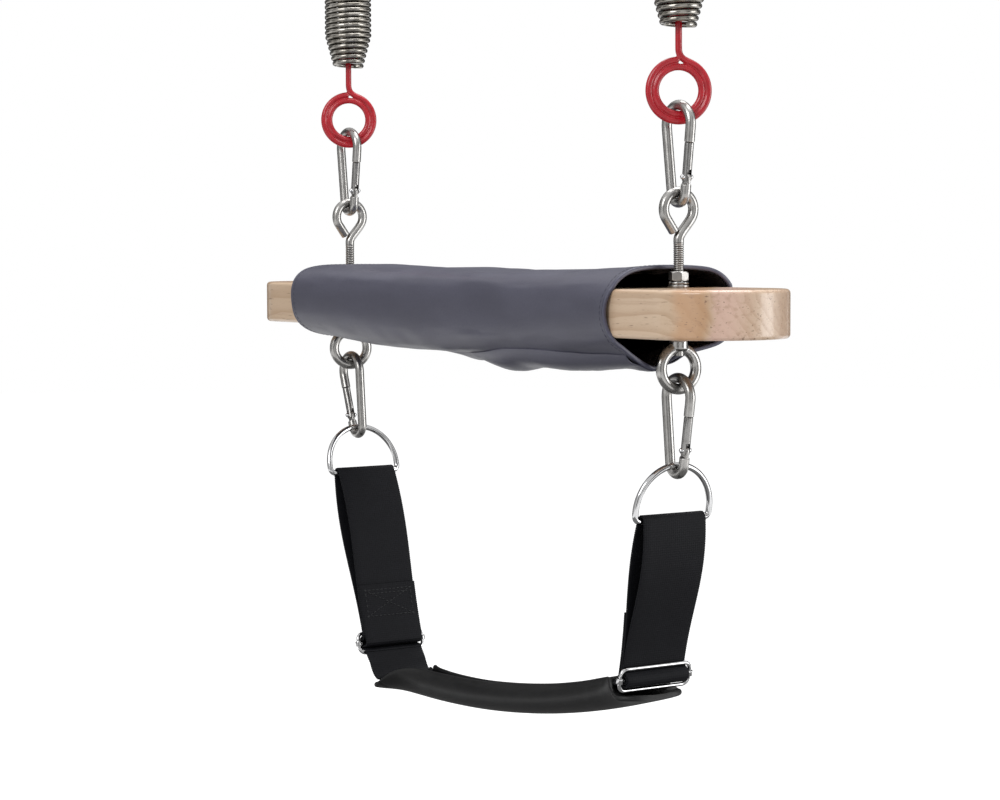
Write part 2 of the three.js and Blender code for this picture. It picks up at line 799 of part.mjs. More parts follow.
// D-rings, with the straight bar down and its centre at the origin
function dRingGeometry() {
  const reach = (dInside + dWire) / 2;
  const rise = dHeight - dWire - reach;
  const corner = [reach - dCornerRadius, dCornerRadius];
  const path = [
    ...arc([0, rise], reach, 0, Math.PI, 2 * arcSteps),
    ...arc([-corner[0], corner[1]], dCornerRadius, Math.PI, 1.5 * Math.PI, 3),
    ...arc(corner, dCornerRadius, 1.5 * Math.PI, 2 * Math.PI, 3),
  ];
  return wire(path, dWire, thinSides, true);
}

// Slides: a wire frame and the bar across its middle, drawn upright
function slideFrameGeometry() {
  const reach = (slideOutside - slideWire) / 2;
  const corner = [reach - slideCornerRadius, slideBarSpacing - slideCornerRadius];
  const quarter = (a, b, from) => arc([a, b], slideCornerRadius, from, from + Math.PI / 2, 4);
  const path = [
    ...quarter(corner[0], corner[1], 0),
    ...quarter(-corner[0], corner[1], Math.PI / 2),
    ...quarter(-corner[0], -corner[1], Math.PI),
    ...quarter(corner[0], -corner[1], 1.5 * Math.PI),
  ];
  return wire(path, slideWire, thinSides, true);
}

function slideBarGeometry() {
  const reach = (slideOutside - slideWire) / 2;
  const barEnd = reach - (knuckleRadius + knuckleBore) / 2;
  const bar = post(slideWire / 2, -barEnd, barEnd, thinSides).rotateY(Math.PI / 2);
  const knuckles = [-reach, reach].map((x) =>
    ringGeometry(knuckleRadius, knuckleBore, knuckleLength, 10).translate(x, 0, -knuckleLength / 2),
  );
  return joined(bar, ...knuckles);
}

// The grip's lowest line is an arc in the XZ plane; the webbing follows it inside.
const slidePlaces = {
  left: {
    ...leftSide,
    fromBolt: leftSlideInset,
    rise: leftSlideRise,
    lean: leftSlideLean,
    wrapShare: leftBarWrapShare,
    landingShare: leftLandingShare,
    reach: gripReachLeft,
  },
  right: {
    ...rightSide,
    fromBolt: rightSlideInset,
    rise: rightSlideRise,
    lean: rightSlideLean,
    wrapShare: rightBarWrapShare,
    landingShare: rightLandingShare,
    reach: gripReachRight,
  },
};
const slideX = (place) => place.sign * (boltX - place.fromBolt);
const gripAngle = (x) => Math.asin((x - gripLowX) / gripBowRadius);
const gripLowZ = rightSide.ringBar[1] - gripDrop;

function onGrip(angle, height) {
  const radius = gripBowRadius - height;
  return [gripLowX + radius * Math.sin(angle), gripLowZ + gripBowRadius - radius * Math.cos(angle)];
}

for (const place of Object.values(slidePlaces)) {
  place.inset = place.sign * (place.ringBar[0] - slideX(place));
  place.drop = place.ringBar[1] - onGrip(gripAngle(slideX(place)), 0)[1] - place.rise;
}

const gripEnds = Object.values(slidePlaces).map((place) =>
  gripAngle(slideX(place) + place.sign * place.reach),
);
const gripArcLength = (gripEnds[1] - gripEnds[0]) * gripBowRadius;
const stationAt = (run, bendShare) => {
  const fromEnd = Math.min(run, gripArcLength - run);
  const intoCorner = Math.max(gripCornerRadius - fromEnd, 0);
  return {
    run,
    angle: gripEnds[0] + run / gripBowRadius,
    bend: gripClosedBend * bendShare,
    inset: gripCornerRadius - Math.sqrt(gripCornerRadius ** 2 - intoCorner ** 2),
  };
};
const gripStations = [
  ...gripBendShares.map(([share, bendShare]) => stationAt(share * gripCloseRun, bendShare)),
  stationAt(gripArcLength / 2, 1),
  ...gripBendShares
    .toReversed()
    .map(([share, bendShare]) => stationAt(gripArcLength - share * gripCloseRun, bendShare)),
];

// The grip's bend at any place along it, from the stations on either side
function bendAt(run) {
  const next = gripStations.findIndex((station) => station.run > run);
  if (next < 1) return gripStations.at(next).bend;
  const [before, after] = [gripStations[next - 1], gripStations[next]];
  return THREE.MathUtils.mapLinear(run, before.run, after.run, before.bend, after.bend);
}

// A strip's section, bent round so that its edges come towards each other above it
function bentStrip([x, z], up, width, thickness, bend, acrossCount) {
  const radius = width / bend;
  const row = (offset) =>
    Array.from({ length: acrossCount }, (_, i) => {
      const angle = bend * (i / (acrossCount - 1) - 0.5);
      const reach = radius + offset;
      const height = radius - reach * Math.cos(angle);
      return new THREE.Vector3(x + up[0] * height, reach * Math.sin(angle), z + up[1] * height);
    });
  return [...row(thickness / 2), ...row(-thickness / 2).toReversed()];
}

function gripGeometry() {
  const rings = gripStations.map(({ angle, bend, inset }) => {
    const up = [-Math.sin(angle), Math.cos(angle)];
    const middle = onGrip(angle, gripThickness / 2);
    const width = gripWidth - 2 * inset;
    return bentStrip(middle, up, width, gripThickness, (bend * width) / gripWidth, webAcross);
  });
  return loft(rings);
}

// The webbing's path over one D-ring and through its slide, from the sewn end to the grip.
// It is drawn in [h, z] with h outboard of the D-ring's bar and z above it.
function loopPath({ inset, drop, lean, ringLean, wrapShare }) {
  const ply = webThickness + seatGap;
  const onWire = slideWire / 2 + webSeatGap + webThickness / 2;
  const overWrap = onWire + ply;
  const outward = [Math.cos(lean), -Math.sin(lean)];
  const up = [Math.sin(lean), Math.cos(lean)];
  const centre = [-inset, -drop];
  const inSlide = ([v, w]) => along(along(centre, outward, v), up, w);
  const crossing = Math.asin((onWire + overWrap) / slideBarSpacing);
  const topBar = [0, slideBarSpacing];
  const bottomBar = [0, -slideBarSpacing];
  const foldRadius = dWire / 2 + webSeatGap + webThickness / 2;

  const runLength = Math.hypot(inset, drop) - slideBarSpacing;
  const pull = runLength * loopPullShare;
  const innerSpread = loopSpread + ringLean;
  const outerSpread = loopSpread - ringLean;
  const foldOut = arc([0, 0], foldRadius, Math.PI - innerSpread, outerSpread, 6);
  const innerRunStart = inSlide([-overWrap, slideBarSpacing]);
  const outerRunEnd = inSlide([-onWire, slideBarSpacing]);
  const innerRun = bezier(
    innerRunStart,
    along(innerRunStart, up, pull),
    along(foldOut[0], [-Math.sin(innerSpread), -Math.cos(innerSpread)], pull),
    foldOut[0],
    2 * bezierSteps,
  );
  const outerRun = bezier(
    foldOut.at(-1),
    along(foldOut.at(-1), [Math.sin(outerSpread), -Math.cos(outerSpread)], pull),
    along(outerRunEnd, up, pull),
    outerRunEnd,
    2 * bezierSteps,
  );

  const wrap = [
    ...arc(topBar, overWrap, Math.PI, Math.PI + crossing, 3),
    ...arc([0, 0], onWire, crossing, -Math.PI / 2, 6),
  ].map(inSlide);
  const tailRadius = 3 * seatGap + webThickness;
  const tailSide = overWrap + ply;
  const tailTurn = arc([tailRadius - tailSide, tailRadius - onWire], tailRadius, -Math.PI / 2, -Math.PI, 4);
  const innerHeading = directions(innerRun);
  const tail = [];
  let climbed = 0;
  for (let i = 0; i < innerRun.length && climbed < sewnTail; i++) {
    if (i) climbed += Math.hypot(innerRun[i][0] - innerRun[i - 1][0], innerRun[i][1] - innerRun[i - 1][1]);
    tail.push(along(innerRun[i], [-innerHeading[i][1], innerHeading[i][0]], ply));
  }

  const throughSlide = [
    ...arc(topBar, onWire, Math.PI, Math.PI + crossing, 3),
    ...arc([0, 0], overWrap, crossing, -crossing, 6),
    ...arc(bottomBar, onWire, Math.PI - crossing, Math.PI - crossing * (1 - wrapShare), 3 * wrapShare),
  ].map(inSlide);

  return [
    ...tail.toReversed(),
    ...tailTurn.map(inSlide).toReversed(),
    ...wrap.toReversed(),
    ...innerRun.slice(1),
    ...foldOut.slice(1),
    ...outerRun.slice(1),
    ...throughSlide.slice(1),
  ];
}

function webbingGeometry() {
  const flat = (place) => {
    const [barX, barZ] = place.ringBar;
    const path = loopPath(place).map(([h, z]) => [barX + place.sign * h, barZ + z]);
    const heading = directions(path);
    const rings = path.map(([x, z], i) => {
      const [dx, dz] = heading[i];
      const up = [dz * place.sign, -dx * place.sign];
      const corner = (edge, face) =>
        new THREE.Vector3(
          x + (up[0] * face * webThickness) / 2,
          (edge * webWidth) / 2,
          z + (up[1] * face * webThickness) / 2,
        );
      return [corner(-1, -1), corner(1, -1), corner(1, 1), corner(-1, 1)];
    });
    return { rings, end: path.at(-1), heading: heading.at(-1) };
  };
  const left = flat(slidePlaces.left);
  const right = flat(slidePlaces.right);

  // On the grip the webbing takes its bend, and is gathered as the sheet closes.
  const floor = gripThickness + webGripGap;
  const sectionAt = (bend) => {
    const thickness = THREE.MathUtils.lerp(webThickness, webInGripThickness, bend / gripClosedBend);
    const roll = bend * webRollShare;
    const radius = gripWidth / bend - gripThickness / 2 - webGripGap - thickness / 2;
    return { thickness, roll, width: radius * roll };
  };
  const landLeft = slidePlaces.left.landingShare * gripCloseRun;
  const landRight = slidePlaces.right.landingShare * gripCloseRun;
  const held = gripStations
    .filter(({ run }) => run > landLeft - seatGap && run < gripArcLength - landRight + seatGap)
    .map(({ angle, bend }) => {
      const section = sectionAt(bend);
      return { angle, ...section, middle: onGrip(angle, floor + section.thickness / 2) };
    });
  const heldRings = held.map(({ angle, middle, width, thickness, roll }) =>
    bentStrip(middle, [-Math.sin(angle), Math.cos(angle)], width, thickness, roll, webAcross),
  );

  // From the slide's bottom bar down on to the open end of the grip
  const landing = (from, station, sign) => {
    const gripHeading = [-sign * Math.cos(station.angle), -sign * Math.sin(station.angle)];
    const reach = Math.hypot(station.middle[0] - from.end[0], station.middle[1] - from.end[1]);
    const path = bezier(
      from.end,
      along(from.end, from.heading, reach * loopPullShare),
      along(station.middle, gripHeading, -reach * loopPullShare),
      station.middle,
      bezierSteps,
    );
    const heading = directions(path);
    return path.slice(1, -1).map((point, i) => {
      const [dx, dz] = heading[i + 1];
      const up = [sign * dz, -sign * dx];
      const section = sectionAt(bendAt((gripAngle(point[0]) - gripEnds[0]) * gripBowRadius));
      const travelled = Math.hypot(point[0] - from.end[0], point[1] - from.end[1]);
      const roll = section.roll * Math.min(travelled / webFlatRun, 1);
      return bentStrip(point, up, section.width, section.thickness, roll, webAcross);
    });
  };
  const fromLeft = landing(left, held[0], -1);
  const fromRight = landing(right, held.at(-1), 1);
  return loft([
    ...left.rings,
    ...fromLeft,
    ...heldRings,
    ...fromRight.toReversed(),
    ...right.rings.toReversed(),
  ]);
}

for (const { side, sign, ringBar, ringLean } of sides) {
  const place = slidePlaces[side];
  const ring = new THREE.Group();
  ring.position.set(ringBar[0], 0, ringBar[1]);
  ring.rotation.set(0, sign * ringLean, 0);
  ring.add(add("d_ring_" + side, dRingGeometry(), steel, 0, 0, across));
  const slide = new THREE.Group();
  slide.position.set(slideX(place), 0, ringBar[1] - place.drop);
  slide.rotation.set(0, sign * place.lean, 0);
  const frame = add("slide_frame_" + side, slideFrameGeometry(), steel, 0, 0, across);
  const bar = add("slide_bar_" + side, slideBarGeometry(), steel, 0, 0, across);
  slide.add(frame, bar);
  part.add(ring, slide);
}
add("webbing_strap", webbingGeometry(), webbing);
add("grip_tube", gripGeometry(), rubber);

// Places that the joints and mounts are stated from
const places = {
  boltX,
  upperHookZ,
  upperHookFootZ: upperHookZ - hookSpan,
  boardTopZ,
  boardBottomZ,
  lowerHookZ,
  lowerHookFootZ: lowerHookZ - hookSpan,
  coilTopZ,
  coilBottomZ,
  gatePivotX: pivotPoint[0],
  upperPivotZ: upperHookZ + pivotPoint[1],
  gripLowZ,
};
for (const [name, value] of Object.entries(places)) console.log(name, value.toFixed(3));
part.updateMatrixWorld(true);
part.traverse((mesh) => {
  if (!mesh.name.startsWith("gate_lower")) return;
  const pivot = new THREE.Vector3(pivotPoint[0], 0, pivotPoint[1]).applyMatrix4(mesh.matrixWorld);
  console.log(mesh.name, "pivot", pivot.x.toFixed(3), pivot.z.toFixed(3));
});
for (const { side, ringBar } of sides) console.log("ring bar", side, ringBar[0].toFixed(2), ringBar[1].toFixed(2));

export default part;
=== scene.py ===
from math import asin, cos, hypot, pi, radians, sin, sqrt, tau

import bmesh
import bpy
import numpy as np
from mathutils import Matrix, Vector, noise


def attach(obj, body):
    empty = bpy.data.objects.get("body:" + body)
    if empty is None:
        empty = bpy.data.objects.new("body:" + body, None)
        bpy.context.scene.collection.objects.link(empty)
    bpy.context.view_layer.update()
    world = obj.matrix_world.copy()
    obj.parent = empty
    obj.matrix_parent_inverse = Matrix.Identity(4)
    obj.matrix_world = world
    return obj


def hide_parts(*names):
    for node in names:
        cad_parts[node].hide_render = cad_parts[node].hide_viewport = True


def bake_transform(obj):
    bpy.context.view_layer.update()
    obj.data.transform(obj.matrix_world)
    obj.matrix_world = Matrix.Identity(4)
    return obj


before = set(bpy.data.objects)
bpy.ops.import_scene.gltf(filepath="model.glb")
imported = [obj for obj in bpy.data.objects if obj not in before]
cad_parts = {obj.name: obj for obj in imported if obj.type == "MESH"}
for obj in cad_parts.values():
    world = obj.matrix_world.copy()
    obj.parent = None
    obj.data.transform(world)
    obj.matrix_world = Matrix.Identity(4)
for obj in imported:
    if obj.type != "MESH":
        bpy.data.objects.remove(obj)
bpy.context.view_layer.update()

# Everything below is drawn in millimetres in the part's own frame and made metres at the end.
MM = 0.001

# Heights down the chain, and the bolts
BOLT_X = 190
UPPER_RING_Z = -11.5
COIL_BOTTOM_Z = -166.9
LOWER_RING_Z = -202.4
UPPER_HOOK_Z = -210.6
WOOD_TOP_Z = -315.8
WOOD_BOTTOM_Z = -343.8
MID_WOOD = 14  # from the bar's top down to its middle
NUT_FOOT_Z = -374.2  # middle of the ring nuts' bottom wire
GRIP_LOW_Z = -595.325
ACROSS = pi / 2  # turns a piece drawn in the XZ plane to face along the bar
SIDES = {"left": -1, "right": 1}
# About their own shanks. The left bolt is turned less than the part's own, which clears its hook.
EYE_TURN = {"left": radians(-5), "right": radians(-5)}
NUT_TURN = {"left": radians(-17), "right": radians(-5)}

# How far the sling draws the lower hooks and the D-rings inboard, how far down each of them
# reaches, and where the rings' bars lie
HOOK_LEAN = {"left": radians(12), "right": radians(2)}
RING_LEAN = {"left": radians(16), "right": radians(9)}
HOOK_DROP, RING_DROP = 44.35, 32.3
RING_BAR = {
    side: (
        sign * (BOLT_X - HOOK_DROP * sin(HOOK_LEAN[side]) - RING_DROP * sin(RING_LEAN[side])),
        NUT_FOOT_Z - HOOK_DROP * cos(HOOK_LEAN[side]) - RING_DROP * cos(RING_LEAN[side]),
    )
    for side, sign in SIDES.items()
}


# ---- Node trees -------------------------------------------------------------------------------


class Signal:
    """A socket that takes part in sums as a number does."""

    def __init__(self, tree, socket):
        self.tree, self.socket = tree, socket

    def worked(self, operation, *terms):
        return self.tree.signal("ShaderNodeMath", {"operation": operation}, dict(enumerate(terms)))

    def __add__(self, other):
        return self.worked("ADD", self, other)

    def __radd__(self, other):
        return self.worked("ADD", other, self)

    def __sub__(self, other):
        return self.worked("SUBTRACT", self, other)

    def __rsub__(self, other):
        return self.worked("SUBTRACT", other, self)

    def __mul__(self, other):
        return self.worked("MULTIPLY", self, other)

    def __truediv__(self, other):
        return self.worked("DIVIDE", self, other)

    def __pow__(self, other):
        return self.worked("POWER", self, other)

    def sine(self):
        return self.worked("SINE", self)

    def cosine(self):
        return self.worked("COSINE", self)

    def size(self):
        return self.worked("ABSOLUTE", self)

    def part(self):
        return self.worked("FRACT", self)

    def least(self, other):
        return self.worked("MINIMUM", self, other)

    def most(self, other):
        return self.worked("MAXIMUM", self, other)

    def between(self, low, high, start=0.0, end=1.0):
        """Climbs smoothly from start to end while the signal goes from low to high."""
        return self.tree.signal(
            "ShaderNodeMapRange",
            {"interpolation_type": "SMOOTHSTEP"},
            {"Value": self, "From Min": low, "From Max": high, "To Min": start, "To Max": end},
        )


class Tree:
    """A tree of nodes while it is being laid out."""

    def __init__(self, tree):
        self.tree = tree

    def node(self, kind, settings=None, sockets=None):
        node = self.tree.nodes.new(kind)
        for name, value in (settings or {}).items():
            setattr(node, name, value)
        for name, value in (sockets or {}).items():
            if isinstance(value, Signal):
                value = value.socket
            if isinstance(value, bpy.types.NodeSocket):
                self.tree.links.new(value, node.inputs[name])
            else:
                node.inputs[name].default_value = value
        return node

    def signal(self, kind, settings=None, sockets=None, out=0):
        return Signal(self, self.node(kind, settings, sockets).outputs[out])


def cleared(name):
    """A new material and its empty tree."""
    material = bpy.data.materials.new(name)
    material.use_nodes = True
    material.node_tree.nodes.clear()
    return material, Tree(material.node_tree)


class Finish(Tree):
    """One finish of the trapeze bar. Its patterns are laid out in millimetres."""

    def __init__(self, name):
        self.material, blank = cleared(name)
        super().__init__(blank.tree)
        place = self.node("ShaderNodeTexCoord").outputs["Object"]
        self.place = self.scaled(place, (1 / MM,) * 3)
        parts = self.node("ShaderNodeSeparateXYZ", {}, {0: self.place})
        self.x, self.y, self.z = (Signal(self, socket) for socket in parts.outputs)

    def scaled(self, place, sizes):
        return self.signal("ShaderNodeVectorMath", {"operation": "MULTIPLY"}, {0: place, 1: sizes})

    def clouds(self, size, detail=3.0, rough=0.5, bend=0.0):
        """Noise whose lumps have that size along X, Y and Z."""
        sizes = size if isinstance(size, tuple) else (size,) * 3
        sockets = {
            "Vector": self.scaled(self.place, tuple(1 / s for s in sizes)),
            "Scale": 1.0,
            "Detail": detail,
            "Roughness": rough,
            "Distortion": bend,
        }
        return self.signal("ShaderNodeTexNoise", {}, sockets)

    def cells(self, size):
        place = self.scaled(self.place, (1 / size,) * 3)
        return self.signal("ShaderNodeTexVoronoi", {}, {"Vector": place, "Scale": 1.0})

    def mixed(self, first, second, share):
        first, second = ((*c, 1) if isinstance(c, tuple) else c for c in (first, second))
        sockets = {0: share, 6: first, 7: second}
        return self.signal("ShaderNodeMix", {"data_type": "RGBA"}, sockets, out=2)

    def close(self, colour, roughness, height, depth, **constants):
        """Ends the tree in one shader; height lifts the surface by up to depth millimetres."""
        sockets = {"Base Color": colour, "Roughness": roughness}
        sockets.update({name.replace("_", " "): value for name, value in constants.items()})
        bump = {"Height": height, "Strength": 1.0, "Distance": depth * MM}
        sockets["Normal"] = self.signal("ShaderNodeBump", {}, bump)
        shader = self.node("ShaderNodeBsdfPrincipled", {}, sockets)
        self.node("ShaderNodeOutputMaterial", {}, {"Surface": shader.outputs[0]})
        return self.material


class Rule(Tree):
    """A tree of Geometry Nodes with named sizes, worked once on a piece."""

    def __init__(self, name, **sizes):
        tree = bpy.data.node_groups.new(name, "GeometryNodeTree")
        super().__init__(tree)
        tree.interface.new_socket("Geometry", in_out="INPUT", socket_type="NodeSocketGeometry")
        tree.interface.new_socket("Geometry", in_out="OUTPUT", socket_type="NodeSocketGeometry")
        tree.interface.new_socket("finish", in_out="INPUT", socket_type="NodeSocketMaterial")
        for size, value in sizes.items():
            kind = "NodeSocketInt" if isinstance(value, int) else "NodeSocketFloat"
            tree.interface.new_socket(size, in_out="INPUT", socket_type=kind).default_value = value
        self.given = self.node("NodeGroupInput")

    def size_of(self, name):
        return Signal(self, self.given.outputs[name])

    def close(self, geometry):
        real = self.node("GeometryNodeRealizeInstances", {}, {"Geometry": geometry})
        smooth = self.node("GeometryNodeSetShadeSmooth", {}, {"Geometry": real.outputs[0]})
        sockets = {"Geometry": smooth.outputs[0], "Material": self.given.outputs["finish"]}
        painted = self.node("GeometryNodeSetMaterial", {}, sockets)
        self.node("NodeGroupOutput", {}, {"Geometry": painted.outputs[0]})
        return self

    def work(self, piece, finish, **sizes):
        """Runs the rule on a piece and leaves the result as its plain mesh."""
        modifier = piece.modifiers.new("rule", "NODES")
        modifier.node_group = self.tree
        values = {"finish": finish, **sizes}
        for item in self.tree.interface.items_tree:
            if item.name in values and item.in_out == "INPUT":
                modifier[item.identifier] = values[item.name]
        return plain(piece)


def plain(piece, crease=40):
    """Applies a piece's modifiers and keeps the result as its mesh."""
    graph = bpy.context.evaluated_depsgraph_get()
    mesh = bpy.data.meshes.new_from_object(piece.evaluated_get(graph), depsgraph=graph)
    old, name = piece.data, piece.name
    piece.modifiers.clear()
    piece.data = mesh
    bpy.data.meshes.remove(old)
    mesh.name = name
    mesh.polygons.foreach_set("use_smooth", [True] * len(mesh.polygons))
    mesh.set_sharp_from_angle(angle=radians(crease))
    return piece


# ---- Forms ------------------------------------------------------------------------------------


class Form:
    """Points in millimetres and the faces between them, before they become a piece."""

    def __init__(self, points, faces, marks=None):
        self.points, self.faces, self.marks = np.asarray(points, float), faces, marks or {}

    def moved(self, x=0.0, y=0.0, z=0.0):
        return Form(self.points + (x, y, z), self.faces, self.marks)

    def turned(self, angle, axis="Z"):
        turn = np.array(Matrix.Rotation(angle, 3, axis))
        return Form(self.points @ turn.T, self.faces, self.marks)

    def __add__(self, other):
        shift = len(self.points)
        faces = self.faces + [tuple(i + shift for i in face) for face in other.faces]
        marks = {
            name: np.concatenate([self.marks[name], other.marks[name]])
            for name in self.marks
            if name in other.marks
        }
        return Form(np.concatenate([self.points, other.points]), faces, marks)

    def facing_out(self):
        volume = 0.0
        for face in self.faces:
            corner = self.points[face[0]]
            for i in range(1, len(face) - 1):
                volume += corner @ np.cross(self.points[face[i]], self.points[face[i + 1]])
        if volume < 0:
            self.faces = [tuple(reversed(face)) for face in self.faces]
        return self

    def piece(self, name, finish, crease=40):
        mesh = bpy.data.meshes.new(name)
        mesh.from_pydata((self.points * MM).tolist(), [], self.faces)
        for mark, values in self.marks.items():
            attribute = mesh.attributes.new(mark, "FLOAT", "POINT")
            attribute.data.foreach_set("value", np.asarray(values, np.float32))
        mesh.materials.append(finish)
        mesh.polygons.foreach_set("use_smooth", [True] * len(mesh.polygons))
        mesh.set_sharp_from_angle(angle=radians(crease))
        piece = bpy.data.objects.new(name, mesh)
        bpy.context.scene.collection.objects.link(piece)
        return piece


def arc(centre, radius, start, end, steps):
    angle = np.linspace(start, end, steps + 1)
    return np.stack([centre[0] + radius * np.cos(angle), centre[1] + radius * np.sin(angle)], 1)


def bezier(p0, p1, p2, p3, steps):
    t = np.linspace(0, 1, steps + 1)[:, None]
    p0, p1, p2, p3 = (np.array(p, float) for p in (p0, p1, p2, p3))
    return (1 - t) ** 3 * p0 + 3 * t * (1 - t) ** 2 * p1 + 3 * t**2 * (1 - t) * p2 + t**3 * p3


def along(point, direction, distance):
    return np.array(point, float) + np.array(direction, float) * distance


def chain(*runs, closed=False):
    """Joins runs of points into one and drops the repeated ones."""
    points = np.concatenate([np.atleast_2d(run) for run in runs])
    keep = np.append(True, np.linalg.norm(np.diff(points, axis=0), axis=1) > 1e-6)
    points = points[keep]
    if closed and np.linalg.norm(points[0] - points[-1]) < 1e-6:
        points = points[:-1]
    return points


def lengths(points):
    return np.append(0, np.cumsum(np.linalg.norm(np.diff(points, axis=0), axis=1)))


def evenly(points, step, closed=False):
    """The same line with points that far apart."""
    if closed:
        points = np.concatenate([points, points[:1]])
    run = lengths(points)
    count = max(int(round(run[-1] / step)), 2)
    at = np.linspace(0, run[-1], count + 1)
    spread = np.stack([np.interp(at, run, points[:, k]) for k in range(points.shape[1])], 1)
    return spread[:-1] if closed else spread


def headings(points, closed=False):
    if closed:
        way = np.roll(points, -1, 0) - np.roll(points, 1, 0)
    else:
        way = np.gradient(points, axis=0)
    return way / np.linalg.norm(way, axis=1)[:, None]


def loft(rings, closed=False, marks=None):
    """One surface through a row of rings with the same number of points."""
    rings = np.asarray(rings, float)
    rows, count = rings.shape[:2]
    faces = []
    for i in range(rows if closed else rows - 1):
        a, b = i * count, ((i + 1) % rows) * count
        for j in range(count):
            k = (j + 1) % count
            faces.append((a + j, a + k, b + k, b + j))
    if not closed:
        faces.append(tuple(reversed(range(count))))
        faces.append(tuple(range((rows - 1) * count, rows * count)))
    return Form(rings.reshape(-1, 3), faces, marks).facing_out()


def tube(
    path, radius, sides=20, across=(0, 1, 0), closed=False, ends="flat", square=2.0, chamfer=0.3
):
    """A wire along a path. radius is one size, or pairs of half sizes across and in the plane."""
    path = np.asarray(path, float)
    if path.shape[1] == 2:
        path = np.stack([path[:, 0], np.zeros(len(path)), path[:, 1]], 1)
    way = headings(path, closed)
    across = np.broadcast_to(np.asarray(across, float), path.shape)
    across = across - np.sum(across * way, 1)[:, None] * way
    across = across / np.linalg.norm(across, axis=1)[:, None]
    beside = np.cross(way, across)
    half = np.asarray(radius, float)
    if half.ndim == 0:
        half = np.full(2, float(half))
    half = np.broadcast_to(half, (len(path), 2))
    square = np.broadcast_to(np.asarray(square, float), (len(path),))[:, None]
    angle = np.linspace(0, tau, sides, endpoint=False)[None, :]
    c, s = np.cos(angle), np.sin(angle)
    c = np.sign(c) * np.abs(c) ** (2 / square) * half[:, :1]
    s = np.sign(s) * np.abs(s) ** (2 / square) * half[:, 1:]
    rings = path[:, None] + across[:, None] * c[..., None] + beside[:, None] * s[..., None]
    if closed:
        return loft(rings, True)
    rings = list(rings)
    for end, sign in ((0, -1), (-1, 1)):
        centre, ring = path[end], rings[end]
        size = float(half[end].min())
        added = []
        if ends == "round":
            for turn in np.radians([22, 45, 66, 82]):
                lift = way[end] * sign * size * sin(turn)
                added.append(centre + (ring - centre) * cos(turn) + lift)
        else:
            rings[end] = ring - way[end] * sign * chamfer
            added.append(centre + (ring - centre) * (1 - chamfer / size))
        rings = added[::-1] + rings if end == 0 else rings + added
    return loft(rings)


def lathe(profile, steps=48):
    """A ring turned about the vertical axis from a closed profile of [radius, height]."""
    profile = np.asarray(profile, float)
    angle = np.linspace(0, tau, steps, endpoint=False)
    rings = [
        np.stack([profile[:, 0] * cos(a), profile[:, 0] * sin(a), profile[:, 1]], 1) for a in angle
    ]
    return loft(rings, True)


def rounded(inner, outer, low, high, edge):
    """The closed profile of a flat ring with rounded edges."""
    centres = [
        (outer - edge, low + edge),
        (outer - edge, high - edge),
        (inner + edge, high - edge),
        (inner + edge, low + edge),
    ]
    starts = [-pi / 2, 0, pi / 2, pi]
    return np.concatenate([arc(c, edge, a, a + pi / 2, 4) for c, a in zip(centres, starts)])


def soften(piece, width, segments, angle):
    """Adds a bevel along a piece's sharp edges, which plain() then applies."""
    step = piece.modifiers.new("edge", "BEVEL")
    step.width, step.segments, step.limit_method = width * MM, segments, "ANGLE"
    step.angle_limit = radians(angle)


def carved(piece, *tools, bevel=0.0):
    """Cuts the tools' forms out of a piece and softens the edges that the cuts leave."""
    cutters = [tool.piece("cutter", None) for tool in tools]
    for cutter in cutters:
        step = piece.modifiers.new("cut", "BOOLEAN")
        step.operation, step.solver, step.object = "DIFFERENCE", "EXACT", cutter
    if bevel:
        soften(piece, bevel, 2, 35)
    plain(piece)
    for cutter in cutters:
        data = cutter.data
        bpy.data.objects.remove(cutter)
        bpy.data.meshes.remove(data)
    return piece


def fused(piece, voxel, rounds):
    """Melts the parts of a piece into one skin and smooths it."""
    step = piece.modifiers.new("melt", "REMESH")
    step.mode, step.voxel_size = "VOXEL", voxel * MM
    step = piece.modifiers.new("ease", "SMOOTH")
    step.factor, step.iterations = 0.5, rounds
    return plain(piece, 180)


def fit(piece, body, slot, *nodes):
    """Puts a finished piece on its body in place of the plain solids."""
    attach(piece, body)
    if nodes:
        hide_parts(*nodes)
    return piece


def keyed(x, places, values):
    """A value that runs smoothly through the ones given at some places along the bar."""
    places, values = np.asarray(places, float), np.asarray(values, float)
    slope = np.gradient(values, places, axis=0)
    k = int(np.clip(np.searchsorted(places, x) - 1, 0, len(places) - 2))
    span = places[k + 1] - places[k]
    t = np.clip((x - places[k]) / span, 0, 1)
    start, end = slope[k] * span, slope[k + 1] * span
    low, high = values[k], values[k + 1]
    return (
        (2 * t**3 - 3 * t**2 + 1) * low
        + (t**3 - 2 * t**2 + t) * start
        + (3 * t**2 - 2 * t**3) * high
        + (t**3 - t**2) * end
    )


# ---- Finishes ---------------------------------------------------------------------------------


